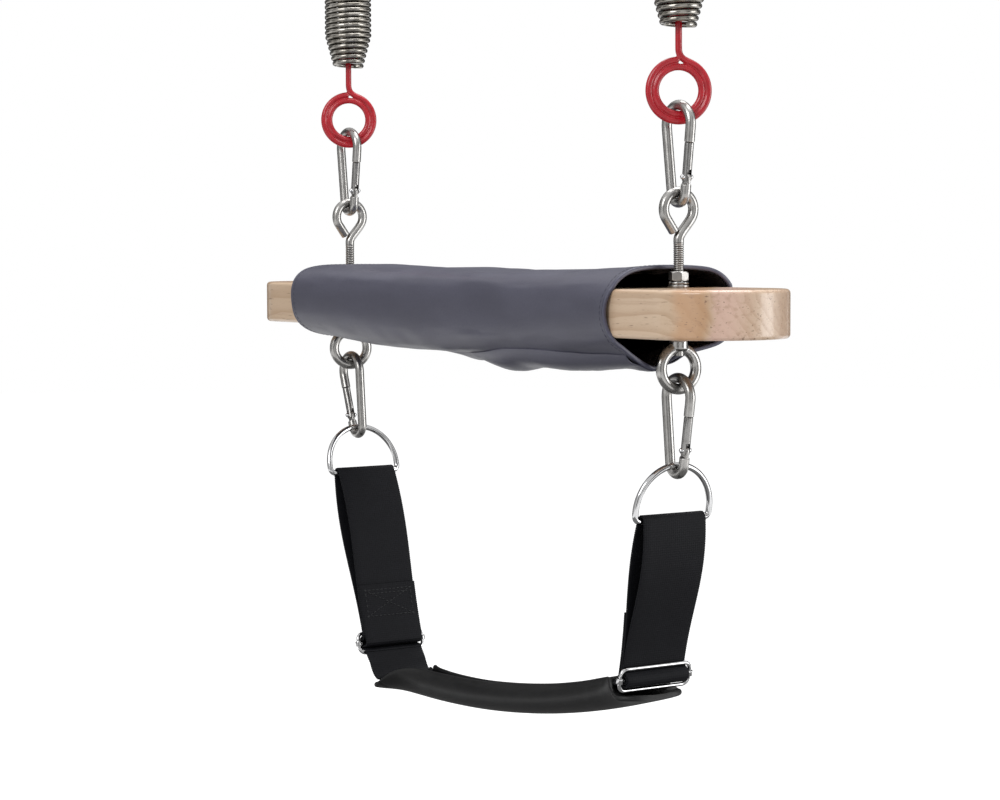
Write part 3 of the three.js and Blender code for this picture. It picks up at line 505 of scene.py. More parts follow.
def lacquered_beech():
    f = Finish("lacquered_beech")
    wave = f.clouds((160.0, 26.0, 26.0), 3.0, 0.55)
    heart = ((f.y - 96.0) ** 2.0 + (f.z + 250.0) ** 2.0) ** 0.5
    ring = ((heart + wave * 16.0) / 5.6).part()
    late = ring.between(0.35, 0.95) * ring.between(0.93, 1.0, 1.0, 0.0)
    streak = f.clouds((70.0, 3.0, 2.4), 4.0, 0.6)
    fleck = f.clouds((13.0, 1.8, 0.95), 2.0, 0.5).between(0.65, 0.72)
    pore = f.clouds((3.6, 0.3, 0.28), 2.0, 0.5).between(0.6, 0.78)
    # Bands of honey and rose cross the board askew near its ends.
    drift = f.clouds((30.0, 30.0, 16.0), 3.0) * 12.0 - 6.0
    askew = f.x.size() * cos(0.87) + f.y * sin(0.87) + drift
    honey = askew.between(119.0, 127.0) * askew.between(138.0, 145.0, 1.0, 0.0)
    rosy = askew.between(141.0, 146.0) * askew.between(149.0, 172.0, 1.0, 0.15)
    # A darker band near the far edge of each round end is painted shade, where the curve turns away
    # from the light.
    painted_end_shade = askew.between(176.0, 180.0)
    tone = f.mixed((0.585, 0.435, 0.305), (0.45, 0.3, 0.19), late * 0.65)
    tone = f.mixed(tone, (0.5, 0.285, 0.15), honey * 0.8)
    tone = f.mixed(tone, (0.66, 0.44, 0.36), rosy * 0.75)
    # Painted shade: the round ends' far edges are darkened here.
    tone = f.mixed(tone, (0.5, 0.35, 0.25), painted_end_shade * 0.6)
    tone = f.mixed(tone, (0.37, 0.22, 0.14), streak.between(0.5, 0.72) * 0.4)
    tone = f.mixed(tone, (0.14, 0.07, 0.04), fleck * 0.65)
    tone = f.mixed(tone, (0.26, 0.16, 0.1), pore * 0.35)
    rough = 0.3 + streak * 0.08 + pore * 0.08
    height = 1 - fleck * 0.5 - pore * 0.3 + streak * 0.3
    return f.close(tone, rough, height, 0.03, Coat_Weight=0.4, Coat_Roughness=0.1)


def sleeve_vinyl():
    f = Finish("sleeve_vinyl")
    grain = f.cells(0.85)
    fine = f.clouds(0.4, 3.0)
    soft = f.clouds((46.0, 22.0, 22.0), 3.0)
    rub = f.clouds((9.0, 6.0, 6.0), 4.0, 0.6).between(0.56, 0.8)
    tone = f.mixed((0.058, 0.0575, 0.082), (0.07, 0.0695, 0.098), soft.between(0.3, 0.7))
    tone = f.mixed(tone, (0.12, 0.12, 0.145), rub * 0.14)
    tone = f.mixed(tone, (0.045, 0.046, 0.067), grain.between(0.45, 0.85) * 0.25)
    rough = 0.36 + soft * 0.06 + rub * 0.08 + grain * 0.05
    height = 1 - grain.between(0.1, 0.8) * 0.7 + fine * 0.25
    return f.close(tone, rough, height, 0.03, Specular_IOR_Level=0.5)


def bound_vinyl():
    f = Finish("bound_vinyl")
    grain = f.clouds(0.8, 3.0)
    worn = f.clouds((7.0, 7.0, 7.0), 3.0).between(0.5, 0.75)
    tone = f.mixed((0.062, 0.063, 0.098), (0.11, 0.112, 0.155), worn * 0.5)
    return f.close(tone, 0.36 + grain * 0.1, grain, 0.04)


def lining_vinyl():
    f = Finish("lining_vinyl")
    crease = f.clouds((14.0, 4.5, 4.5), 4.0, 0.6, bend=0.6)
    fine = f.clouds(1.1, 2.0)
    tone = f.mixed((0.006, 0.006, 0.009), (0.02, 0.02, 0.026), crease.between(0.4, 0.75))
    return f.close(tone, 0.16 + fine * 0.12, crease * 0.9 + fine * 0.08, 1.6)


def steel(name, tone, darker, rough, lumps=0.009, threaded=False):
    f = Finish(name)
    patch = f.clouds(5.0, 3.0)
    wave = f.clouds((3.4, 3.4, 4.6), 1.0)
    grime = f.clouds(2.2, 4.0, 0.65).between(0.56, 0.74)
    colour = f.mixed(tone, darker, patch.between(0.38, 0.68) * 0.55 + grime * 0.35)
    if threaded:
        # Painted shade: the thread's grooves are darkened by how deep the cut goes.
        groove_shade = f.node("ShaderNodeAttribute", {"attribute_name": "groove_shade"})
        colour = f.mixed(colour, (0.05, 0.045, 0.04), Signal(f, groove_shade.outputs["Fac"]) * 0.85)
    roughness = rough + patch * 0.05 + grime * 0.08
    return f.close(colour, roughness, wave, lumps, Metallic=1.0)


def drawn_spring_steel():
    f = Finish("drawn_spring_steel")
    lap = f.clouds((3.0, 3.0, 0.34), 3.0, 0.6)
    patch = f.clouds((7.0, 7.0, 4.0), 3.0)
    speck = f.clouds(0.9, 3.0, 0.6).between(0.62, 0.76)
    colour = f.mixed((0.33, 0.315, 0.29), (0.19, 0.177, 0.155), patch.between(0.34, 0.66))
    colour = f.mixed(colour, (0.17, 0.15, 0.12), speck * 0.4)
    roughness = 0.17 + lap * 0.08 + speck * 0.12
    return f.close(colour, roughness, lap, 0.03, Metallic=1.0)


def red_dip():
    f = Finish("red_dip")
    lump = f.clouds(5.0, 2.0)
    fine = f.clouds(0.7, 3.0)
    scuff = f.clouds((2.4, 2.4, 3.5), 4.0, 0.65).between(0.62, 0.78)
    tone = f.mixed((0.36, 0.006, 0.014), (0.42, 0.007, 0.017), lump.between(0.35, 0.65))
    tone = f.mixed(tone, (0.5, 0.04, 0.06), scuff * 0.1)
    rough = 0.24 + fine * 0.06 + scuff * 0.18
    return f.close(tone, rough, lump * 0.94 + fine * 0.06, 0.07, Specular_IOR_Level=0.5)


def strap_weave():
    f = Finish("strap_weave")
    warp = ((f.y * (tau / 1.5)).sine() + 1.0) * 0.5
    fuzz = f.clouds(0.35, 3.0, 0.6)
    sheen_patches = f.clouds((12.0, 12.0, 12.0), 3.0)
    rib = f.node("ShaderNodeAttribute", {"attribute_name": "rib"})
    crown = Signal(f, rib.outputs["Fac"])
    # Painted highlight: the ribs' crowns are lighter than the valleys between them.
    tone = f.mixed((0.002, 0.0021, 0.003), (0.0052, 0.0055, 0.0075), crown * 0.8 + fuzz * 0.2)
    # Painted sheen: lighter streaks along the warp on the crowns, in patches.
    tone = f.mixed(tone, (0.014, 0.0147, 0.019), warp * crown * sheen_patches.between(0.4, 0.8) * 0.3)
    rough = 0.58 + fuzz * 0.12
    return f.close(tone, rough, warp * 0.6 + fuzz * 0.4, 0.08, Specular_IOR_Level=0.14)


def grip_rubber():
    f = Finish("grip_rubber")
    skin = f.clouds(0.5, 3.0, 0.6)
    bloom = f.clouds((16.0, 9.0, 9.0), 4.0, 0.6)
    dust = f.clouds((2.5, 1.4, 1.4), 3.0).between(0.56, 0.78)
    tone = f.mixed((0.005, 0.005, 0.0054), (0.009, 0.009, 0.0094), bloom.between(0.35, 0.7))
    tone = f.mixed(tone, (0.03, 0.03, 0.031), dust * 0.25)
    return f.close(tone, 0.36 + bloom * 0.12 + skin * 0.06, skin, 0.05, Specular_IOR_Level=0.28)


def sewing_thread(name, dark, light):
    f = Finish(name)
    twist = (((f.x + f.y) * 1.2 + f.z) * (tau / 0.55)).sine()
    fuzz = f.clouds(0.3, 2.0)
    tone = f.mixed(dark, light, fuzz)
    return f.close(tone, 0.6 + fuzz * 0.1, twist, 0.05)


BEECH = lacquered_beech()
VINYL = sleeve_vinyl()
BOUND = bound_vinyl()
LINING = lining_vinyl()
POLISHED = ((0.35, 0.343, 0.332), (0.25, 0.243, 0.233), 0.26)  # tone, darker tone, roughness
STAINLESS = steel("polished_stainless", *POLISHED)
THREADED = steel("threaded_stainless", *POLISHED, threaded=True)
CAST = steel("smooth_cast_steel", (0.36, 0.352, 0.342), (0.26, 0.253, 0.242), 0.22, 0.012)
PLATED = steel("bright_plating", (0.52, 0.52, 0.525), (0.4, 0.4, 0.4), 0.08, 0.006)
GATE_STEEL = steel("gate_steel", (0.26, 0.256, 0.25), (0.18, 0.172, 0.165), 0.22)
SPRING_STEEL = drawn_spring_steel()
RED = red_dip()
STRAP = strap_weave()
RUBBER = grip_rubber()
THREAD = sewing_thread("grey_thread", (0.042, 0.043, 0.063), (0.06, 0.061, 0.086))
BLACK_THREAD = sewing_thread("black_thread", (0.004, 0.004, 0.005), (0.009, 0.0095, 0.012))


# ---- Rules ------------------------------------------------------------------------------------


def placed_at(rule, x, y, z):
    return rule.signal("ShaderNodeCombineXYZ", {}, {0: x, 1: y, 2: z})


def coil_rule():
    """A close-wound spring that tapers at both ends, standing on the origin."""
    sizes = dict(wire=0.004, body=0.0145, end=0.00865, pitch=0.00415, curls=28.0, taper=5.0)
    r = Rule("close_wound_coil", **sizes, steps=40, facets=14)
    curls, pitch, wire = r.size_of("curls"), r.size_of("pitch"), r.size_of("wire")
    line = r.node("GeometryNodeCurvePrimitiveLine")
    points = r.size_of("steps") * curls + 1.0
    spread = r.node("GeometryNodeResampleCurve", {}, {"Curve": line.outputs[0], "Count": points})
    share = r.signal("GeometryNodeSplineParameter")
    curl = share * curls
    body, end = r.size_of("body"), r.size_of("end")
    reach = body.least(end + (body - end) * curl.least(curls - curl) / r.size_of("taper"))
    angle = curl * tau
    place = placed_at(r, reach * angle.cosine(), reach * angle.sine(), pitch * curl + wire / 2)
    bent = r.node("GeometryNodeSetPosition", {}, {"Geometry": spread.outputs[0], "Position": place})
    radius = {"Resolution": r.size_of("facets"), "Radius": wire / 2}
    ring = r.node("GeometryNodeCurvePrimitiveCircle", {}, radius)
    sockets = {"Curve": bent.outputs[0], "Profile Curve": ring.outputs[0], "Fill Caps": True}
    return r.close(r.node("GeometryNodeCurveToMesh", {}, sockets).outputs[0])


def thread_rule():
    """A screw thread cut into a round bar that stands on the Z axis."""
    r = Rule("screw_thread", pitch=0.001, depth=0.0006, low=0.0, high=0.02, fade=0.0015)
    parts = r.node("ShaderNodeSeparateXYZ", {}, {0: r.node("GeometryNodeInputPosition").outputs[0]})
    x, y, z = (Signal(r, socket) for socket in parts.outputs)
    turn = r.signal("ShaderNodeMath", {"operation": "ARCTAN2"}, {0: y, 1: x}) / tau
    tooth = ((z / r.size_of("pitch") - turn).part() * 2.0 - 1.0).size()
    fade = r.size_of("fade")
    inside = (z - r.size_of("low")).between(0.0, fade) * (r.size_of("high") - z).between(0.0, fade)
    cut = r.size_of("depth") * inside * (1.0 - tooth.between(0.0, 0.62))
    size = (x * x + y * y) ** 0.5
    left = (size - cut) / size
    place = placed_at(r, x * left, y * left, z)
    sockets = {"Geometry": r.given.outputs["Geometry"], "Position": place}
    return r.close(r.node("GeometryNodeSetPosition", {}, sockets).outputs[0])


def weave_rule():
    """Raises the cross ribs of a woven strap and the teeth along its edges."""
    r = Rule("cross_ribs", pitch=1.4, rib=0.00013, tooth=0.0003)
    run = r.node("GeometryNodeInputNamedAttribute", {"data_type": "FLOAT"}, {"Name": "run"})
    rim = r.node("GeometryNodeInputNamedAttribute", {"data_type": "FLOAT"}, {"Name": "rim"})
    run, rim = (Signal(r, n.outputs["Attribute"]) for n in (run, rim))
    crown = ((run * pi / r.size_of("pitch")).sine()).size()
    lift = (crown - 0.5) * (r.size_of("rib") * (1.0 - rim) + r.size_of("tooth") * rim)
    normal = r.node("GeometryNodeInputNormal").outputs[0]
    offset = r.node("ShaderNodeVectorMath", {"operation": "SCALE"}, {0: normal, "Scale": lift})
    raised = r.node(
        "GeometryNodeSetPosition",
        {},
        {"Geometry": r.given.outputs["Geometry"], "Offset": offset.outputs[0]},
    )
    # The crowns are kept as 'rib' for the strap's finish, which paints them lighter as a painted
    # highlight.
    settings = {"data_type": "FLOAT", "domain": "POINT"}
    sockets = {"Geometry": raised.outputs[0], "Name": "rib", "Value": crown}
    return r.close(r.node("GeometryNodeStoreNamedAttribute", settings, sockets).outputs[0])


def stitch_rule():
    """A row of stitches along a line of edges."""
    r = Rule("stitch_row", pitch=0.003, length=0.0022, width=0.0006)
    line = r.node("GeometryNodeMeshToCurve", {}, {"Mesh": r.given.outputs["Geometry"]})
    sockets = {"Curve": line.outputs[0], "Length": r.size_of("pitch")}
    spread = r.node("GeometryNodeResampleCurve", {"mode": "LENGTH"}, sockets)
    way = r.node("GeometryNodeInputTangent").outputs[0]
    turn = r.node("FunctionNodeAlignRotationToVector", {"axis": "X"}, {"Vector": way})
    bead = r.node("GeometryNodeMeshUVSphere", {}, {"Segments": 8, "Rings": 6, "Radius": 0.5})
    width = r.size_of("width")
    size = placed_at(r, r.size_of("length"), width, width)
    sockets = {
        "Points": spread.outputs[0],
        "Instance": bead.outputs[0],
        "Rotation": turn.outputs[0],
        "Scale": size,
    }
    return r.close(r.node("GeometryNodeInstanceOnPoints", {}, sockets).outputs[0])


COIL = coil_rule()
SCREW = thread_rule()
WEAVE = weave_rule()
STITCH = stitch_rule()


def stitches(name, lines, finish, pitch, length, width):
    """Rows of thread along some lines, each stitch that long and wide."""
    points, edges = [], []
    for line in lines:
        first = len(points)
        points += (np.asarray(line) * MM).tolist()
        edges += [(i, i + 1) for i in range(first, len(points) - 1)]
    mesh = bpy.data.meshes.new(name)
    mesh.from_pydata(points, edges, [])
    piece = bpy.data.objects.new(name, mesh)
    bpy.context.scene.collection.objects.link(piece)
    sizes = dict(pitch=pitch * MM, length=length * MM, width=width * MM)
    return STITCH.work(piece, finish, **sizes)


# ---- Wooden bar -------------------------------------------------------------------------------


def wooden_bar():
    half_width, end_x, edge = 43.0, 223.0, 2.5
    steps = [(edge + 1.2, 0.0)]
    for turn in np.linspace(0, pi / 2, 7):
        steps.append((edge * (1 - sin(turn)), edge * (1 - cos(turn))))
    steps.append((0.0, edge + 0.8))
    profile = [(inset, WOOD_BOTTOM_Z + rise) for inset, rise in steps]
    profile += [(inset, WOOD_TOP_Z - rise) for inset, rise in reversed(steps)]
    rings = []
    for inset, z in profile:
        radius = half_width - inset
        outline = chain(
            arc((end_x, 0), radius, -pi / 2, pi / 2, 56),
            arc((-end_x, 0), radius, pi / 2, 1.5 * pi, 56),
        )
        rings.append(np.stack([outline[:, 0], outline[:, 1], np.full(len(outline), z)], 1))
    board = loft(rings).piece("beech_board", BEECH)
    holes = [
        tube([[0, WOOD_BOTTOM_Z - 1], [0, WOOD_TOP_Z + 1]], 3.5, 32).moved(sign * BOLT_X)
        for sign in SIDES.values()
    ]
    carved(board, *holes)
    fit(board, "bar", "wood", "wooden_bar")


# ---- Padded sleeve ----------------------------------------------------------------------------

SLEEVE_END = 182.0
COVER_END = 180.2
COVER_PLY = 1.4
LINING_INSET = 1.6
LINING_PLY = 0.7
# The sleeve's section at four places along it, as Y and the height over the bar, from the middle
# of its back over the top, down the front and back under the bar
SECTION_X = [-182, -60, 90, 182]
SECTIONS = [
    [
        (46.6, -14), (46.4, -6), (45.4, 0), (42.6, 5), (36.5, 9.4), (28, 11.4), (15, 12.2),
        (2, 12.4), (-11, 12.4), (-23, 12.2), (-35.7, 11), (-44.1, 8.3), (-49.4, 3.5), (-51.9, -3),
        (-52.3, -9.5), (-51.6, -16), (-50, -22.6), (-46.3, -28), (-40, -32.6), (-31, -35.6),
        (-22, -37), (-13, -37.8), (-3, -38.2), (8, -38), (19, -37.4), (30, -35.4), (40, -31.4),
        (45.6, -24),
    ],
    [
        (47.2, -14), (46.8, -5), (45.4, 0.5), (42.8, 4.6), (36.8, 7.9), (28.6, 9.6), (16, 10.6),
        (2, 10.9), (-12, 10.9), (-25, 10.5), (-34.5, 9.2), (-41, 6.4), (-44.8, 2), (-46.9, -4),
        (-47.6, -10), (-47.6, -17), (-47, -24), (-45.4, -30.5), (-42, -36), (-37, -39.8),
        (-29.5, -42), (-20, -42.7), (-7, -42.4), (8, -41.6), (20, -40), (31, -37.4), (40, -33),
        (45.8, -25),
    ],
    [
        (47, -14), (46.6, -5), (45.4, 0.5), (43, 4.6), (37, 7.9), (29, 9.4), (17, 9.9), (3, 10),
        (-12, 10), (-25.5, 9.6), (-34.5, 8.4), (-40.5, 5.8), (-44.4, 1.6), (-46.6, -4),
        (-47.4, -10), (-47.4, -17), (-46.8, -24), (-45.2, -30.5), (-42, -36), (-37.5, -39.6),
        (-30, -41.2), (-20, -41.6), (-7, -41.6), (8, -41), (20, -39.4), (31, -36.8), (40, -32.6),
        (45.6, -25),
    ],
    [
        (46.4, -14), (46.2, -6), (45, -1), (42.9, 2.8), (37.4, 8), (30.4, 11.4), (21, 12.9),
        (3, 13.4), (-12.5, 13.3), (-26, 12.1), (-34.4, 9.3), (-39.4, 6.2), (-43, 2.6),
        (-45.8, -2.4), (-47.2, -7), (-47.8, -12), (-47.4, -18), (-46, -24.2), (-43, -30.4),
        (-36, -35.2), (-27, -40.6), (-19, -45), (-9.5, -48.6), (1, -42), (12, -38.6), (25, -36.4),
        (36.5, -33.4), (44.4, -26),
    ],
]


def ruffled(x, angle, size, seed):
    return noise.noise(Vector((x / size, angle * 3.0 + seed, seed * 1.7)))


def sleeve_ring(x, inset=0.0, count=160, wrinkle=1.0, crumple=0.0):
    """The sleeve's section at x, as points round it that start in the middle of its back."""
    line = keyed(x, SECTION_X, SECTIONS)
    for _ in range(3):  # corner cutting, which rounds the section
        after = np.roll(line, -1, 0)
        line = np.stack([0.75 * line + 0.25 * after, 0.25 * line + 0.75 * after], 1).reshape(-1, 2)
    line = evenly(line, lengths(np.concatenate([line, line[:1]]))[-1] / count, True)[:count]
    way = headings(line, True)
    out = np.stack([way[:, 1], -way[:, 0]], 1)
    if np.sum(out * line) < 0:
        out = -out
    share = np.arange(count) / count
    side = np.abs(line[:, 1] + MID_WOOD) < 15
    free = np.where(side, 0.25, 1.0)
    ease = np.clip((SLEEVE_END - abs(x)) / 22, 0.35, 1)
    push = np.array(
        [
            0.9 * ruffled(x, sin(tau * s), 46, 1.0) + 0.35 * ruffled(x, 2 * sin(tau * s), 17, 5.0)
            for s in share
        ]
    )
    push = np.maximum(push + 0.1, -0.5) * free * ease * wrinkle
    if crumple:
        crumple += 1.6 * np.clip((abs(x) - 140) / 25, 0, 1)  # deeper towards the ends
        crumple *= np.clip((178 - abs(x)) / 9, 0, 1)  # smooth at the rim
        inward = np.array(
            [
                abs(ruffled(x * 1.6 + 30 * sin(tau * s), 6 * s, 15, 9.0))
                + 0.6 * abs(ruffled(x, 14 * s, 7, 3.0))
                for s in share
            ]
        )
        push = push - crumple * np.where(side, 0.0, 1.0) * inward
    line = line + out * (push - inset)[:, None]
    y, z = line[:, 0], line[:, 1]
    # The corners of the right end reach out past its front.
    corner = np.clip(np.abs(z + MID_WOOD) / 15, 0, 1) ** 2 * np.clip(np.abs(y) / 36, 0, 1) ** 2
    reach = np.clip((x - 140) / 42, 0, 1) ** 2 * 3.5
    return np.stack([x + reach * corner, y, z + WOOD_TOP_Z], 1)


def shell(outer, inner, end, step, **kinds):
    """A wall of the sleeve between two insets."""
    stations = np.linspace(-end, end, int(2 * end / step) + 1)
    rings = [sleeve_ring(x, outer, **kinds) for x in stations]
    rings += [sleeve_ring(x, inner, **kinds) for x in stations[::-1]]
    return loft(rings, True)


# The flap's right end and back edge. Along it, how far forward it reaches and how deep it hangs
# under the bar's top.
FLAP_END = 180.6
FLAP_BACK = 17.0
FLAP_X = [-176, -60, -20, 2, 16, 30, 150, FLAP_END]
FLAP_FRONT = [-10, -10, -12, -20, -31, -35, -35, -31]
HANG_X = [
    -176, -116, -66, -50, -36, -19, -3, 8, 24, 38, 50, 60, 76, 88, 101, 117, 137, 160, 176
]
HANG = [
    38, 39, 41, 43, 45.2, 47.4, 47, 45.8, 46.8, 49.4, 51.2, 50.9, 48.2, 47.8, 48.4, 48.6, 47.6,
    45.6, 44,
]


def flap_row(x, lift, count=40):
    """A line across the flap at x, that far outside the cover."""
    under = sleeve_ring(x, 0.0)
    under[:, 2] -= WOOD_TOP_Z
    under = under[under[:, 2] < -31]
    under = under[np.argsort(under[:, 1])]
    front, hang = keyed(x, FLAP_X, FLAP_FRONT), keyed(x, HANG_X, HANG)
    y = np.linspace(front, FLAP_BACK, count)
    z = np.interp(y, under[:, 1], under[:, 2])
    share = (y - front) / (FLAP_BACK - front)
    swell = np.sin(pi * np.clip(share * 1.15, 0, 1) ** 0.8) ** 0.9
    z = np.minimum(z, z + (-hang - z) * swell)
    curl = np.array([0.5 * noise.noise(Vector((x / 13, v / 9, 2.0))) for v in y])
    z = z - np.abs(curl) * np.sin(pi * share)
    rise = np.clip(share / 0.08, 0, 1) ** 0.5
    lift = lift * (0.5 + 0.5 * np.clip((FLAP_END - x) / 6, 0, 1))
    z = z - lift * (0.3 + 0.7 * rise)
    y = y - lift * 0.3 * np.clip(1 - share / 0.2, 0, 1)
    return np.stack([np.full(count, x), y, z + WOOD_TOP_Z], 1)


def sleeve():
    cover = shell(0.0, COVER_PLY, COVER_END, 2.0).piece("padded_cover", VINYL, 60)
    fit(cover, "bar", "vinyl", "sleeve_cover")

    inner = LINING_INSET + LINING_PLY
    lining = shell(LINING_INSET, inner, COVER_END - 1.6, 2.5, wrinkle=0.6, crumple=2.2)
    lining = lining.piece("black_lining", LINING, 60)
    fit(lining, "bar", "lining", "sleeve_lining")

    flap_x = np.linspace(-176, FLAP_END, 180)
    rings = [np.concatenate([flap_row(x, -0.2), flap_row(x, 1.4)[::-1]]) for x in flap_x]
    flap = loft(rings).piece("lapped_flap", VINYL, 50)
    soften(flap, 0.45, 2, 50)
    plain(flap, 50)
    fit(flap, "bar", "vinyl", "closure_flap")

    seams = []
    for side, sign in SIDES.items():
        middle = sleeve_ring(sign * (SLEEVE_END - 1.1), 1.1, 200)
        rim = tube(middle, (0.85, 1.2), 16, (1, 0, 0), closed=True, square=2.6)
        rim = rim.piece("edge_binding_" + side, BOUND, 70)
        fit(rim, "bar", "vinyl", "sleeve_binding_" + side)
        ring = sleeve_ring(sign * (SLEEVE_END - 4.2), -0.05, 200)
        seams.append(np.concatenate([ring, ring[:1]]))
    seams.append(np.array([flap_row(x, 1.45)[35] for x in flap_x]))
    fit(stitches("sleeve_stitches", seams, THREAD, 3.4, 2.6, 0.36), "bar", "vinyl")


# ---- Eye bolts, nuts and washers --------------------------------------------------------------


def eye_bolt():
    radius, leave, neck_z = 10.0, radians(35), 28.0
    centre = (0, 58.5 - 13.0)
    loop = arc(centre, radius, pi + leave, -leave, 64)
    cut_end = along(loop[0], (sin(leave), -cos(leave)), 9.0)
    last, neck = loop[-1], (0, neck_z)
    pull = (last[1] - neck_z) / 2
    leg = bezier(
        last,
        along(last, (-sin(leave), -cos(leave)), pull),
        along(neck, (0, 1), pull / 2),
        neck,
        24,
    )
    path = chain(cut_end, loop, leg, (0, neck_z - 2))
    return tube(evenly(path, 0.8), 3.0, 24, chamfer=0.35)


def threaded_shank():
    low, high = -39.2, 26.2
    stations = np.concatenate([np.linspace(low, 8, 8), np.arange(8.1, high, 0.125), [high]])
    return tube(np.stack([np.zeros_like(stations), stations], 1), 3.0, 32, chamfer=0.2)


def hex_nut(flats=10.0, height=5.5, bore=3.1):
    count = 72
    angle = np.linspace(0, tau, count, endpoint=False)
    hexagon = flats / 2 / np.cos((angle + pi / 6) % (pi / 3) - pi / 6)
    corner = flats / sqrt(3)
    rings = []

    def ring(limit, z):
        reach = np.minimum(hexagon, limit)
        rings.append(np.stack([reach * np.cos(angle), reach * np.sin(angle), np.full(count, z)], 1))

    levels = [0, 0.18, 0.4, 0.7]
    ring(bore + 0.35, 0.0)
    for rise in levels:
        ring(flats / 2 * 0.97 + rise * 1.25, rise)
    ring(corner, 1.2)
    ring(corner, height - 1.2)
    for rise in reversed(levels):
        ring(flats / 2 * 0.97 + rise * 1.25, height - rise)
    ring(bore + 0.35, height)
    ring(bore, height - 0.35)
    ring(bore, 0.35)
    return loft(rings, True)


def split_washer():
    gap = radians(9)
    angle = np.linspace(-pi / 2 + gap, 1.5 * pi - gap, 72)
    lift = np.linspace(-0.16, 0.16, len(angle))
    path = np.stack([4.72 * np.cos(angle), 4.72 * np.sin(angle), 0.8 + lift], 1)
    return tube(path, (0.72, 1.22), 16, (0, 0, 1), square=5.0, chamfer=0.15)


def ring_nut():
    centre = -(33.6 - 15.0)
    ring = tube(arc((0, centre), 11.8, 0, tau, 72)[:-1], (3.1, 3.25), 28, closed=True)
    boss = tube([[0, centre + 11.0], [0, -3.2], [0, -1.6]], 5.5, 40, (0, 1, 0), chamfer=0.7)
    collar = tube([[0, -8.4], [0, -5.4]], 4.9, 40, chamfer=1.2)
    return ring + boss + collar


# The bolts' thread, from its lower to its upper end
THREAD_LOW, THREAD_HIGH, THREAD_PITCH, THREAD_DEPTH = 7.0, 26.0, 1.25, 0.42
BOLT_RADIUS, SHANK_TOP = 3.0, 26.2


def fasteners():
    for side, sign in SIDES.items():
        x, turn = sign * BOLT_X, ACROSS + EYE_TURN[side]
        shank = threaded_shank().piece("shank", STAINLESS)
        sizes = dict(pitch=THREAD_PITCH * MM, depth=THREAD_DEPTH * MM, low=THREAD_LOW * MM)
        SCREW.work(shank, THREADED, **sizes, high=THREAD_HIGH * MM, fade=1.6 * MM)
        bolt = eye_bolt().piece("bent_bolt_" + side, THREADED)
        joined = bmesh.new()
        joined.from_mesh(bolt.data)
        joined.from_mesh(shank.data)
        joined.to_mesh(bolt.data)
        joined.free()
        bpy.data.objects.remove(shank)
        # How deep the thread cuts at each point, kept for the finish to paint shade in the grooves.
        groove_shade = bolt.data.attributes.new("groove_shade", "FLOAT", "POINT")
        for point, vertex in zip(groove_shade.data, bolt.data.vertices):
            x_in, y_in, z_up = vertex.co / MM
            cut = (BOLT_RADIUS - hypot(x_in, y_in)) / THREAD_DEPTH
            point.value = min(max(cut, 0.0), 1.0) if THREAD_LOW < z_up < SHANK_TOP else 0.0
        at = Matrix.Translation((x * MM, 0, WOOD_TOP_Z * MM)) @ Matrix.Rotation(turn, 4, "Z")
        bolt.data.transform(at)
        fit(bolt, "bar", "stainless", "eye_bolt_" + side)

        washer = lathe(rounded(3.5, 6.0, 0, 1.6, 0.3)).moved(x, 0, WOOD_TOP_Z + 0.3)
        washer = washer.piece("flat_washer_" + side, STAINLESS)
        fit(washer, "bar", "stainless", "top_washer_" + side)
        split = split_washer().moved(x, 0, WOOD_TOP_Z + 2.2)
        split = split.piece("split_washer_" + side, GATE_STEEL)
        fit(split, "bar", "stainless", "spring_washer_" + side)
        nut = hex_nut().turned(radians(12)).moved(x, 0, WOOD_TOP_Z + 4.1)
        fit(nut.piece("hex_nut_" + side, STAINLESS, 22), "bar", "stainless", "top_nut_" + side)
        washer = lathe(rounded(3.5, 6.0, 0, 1.0, 0.25)).moved(x, 0, WOOD_BOTTOM_Z - 1.3)
        washer = washer.piece("thin_washer_" + side, STAINLESS)
        fit(washer, "bar", "stainless", "under_washer_" + side)

        nut = ring_nut().turned(ACROSS + NUT_TURN[side]).moved(x, 0, WOOD_BOTTOM_Z)
        nut = fused(nut.piece("ring_nut_" + side, CAST), 0.34, 10)
        fit(nut, "bar", "stainless", "eye_nut_" + side)


# ---- Snap hooks -------------------------------------------------------------------------------

WIDE, NARROW, SPAN, HALF_WIRE = 11.3, 6.5, 56.0, 3.0
WIDE_CENTRE, NARROW_CENTRE = (0.0, -WIDE), (0.0, NARROW - SPAN)
LEAN = asin((WIDE - NARROW) / (WIDE_CENTRE[1] - NARROW_CENTRE[1]))
GATE_UP = np.array([sin(LEAN), cos(LEAN)])
GATE_FOOT = along(NARROW_CENTRE, (cos(LEAN), -sin(LEAN)), NARROW)
TAIL, SHOULDER, SLOT_DEPTH = 2.4, 4.0, 4.4


def on_gate_line(below_top):
    return along(GATE_FOOT, GATE_UP, (HALF_WIRE - below_top - GATE_FOOT[1]) / GATE_UP[1])


NOSE, PIVOT = on_gate_line(24.5), on_gate_line(44.4)


def by_the_gate(form):
    """Places what was drawn upright at the origin along the gate, from its pin."""
    return form.turned(LEAN, "Y").moved(PIVOT[0], 0, PIVOT[1])


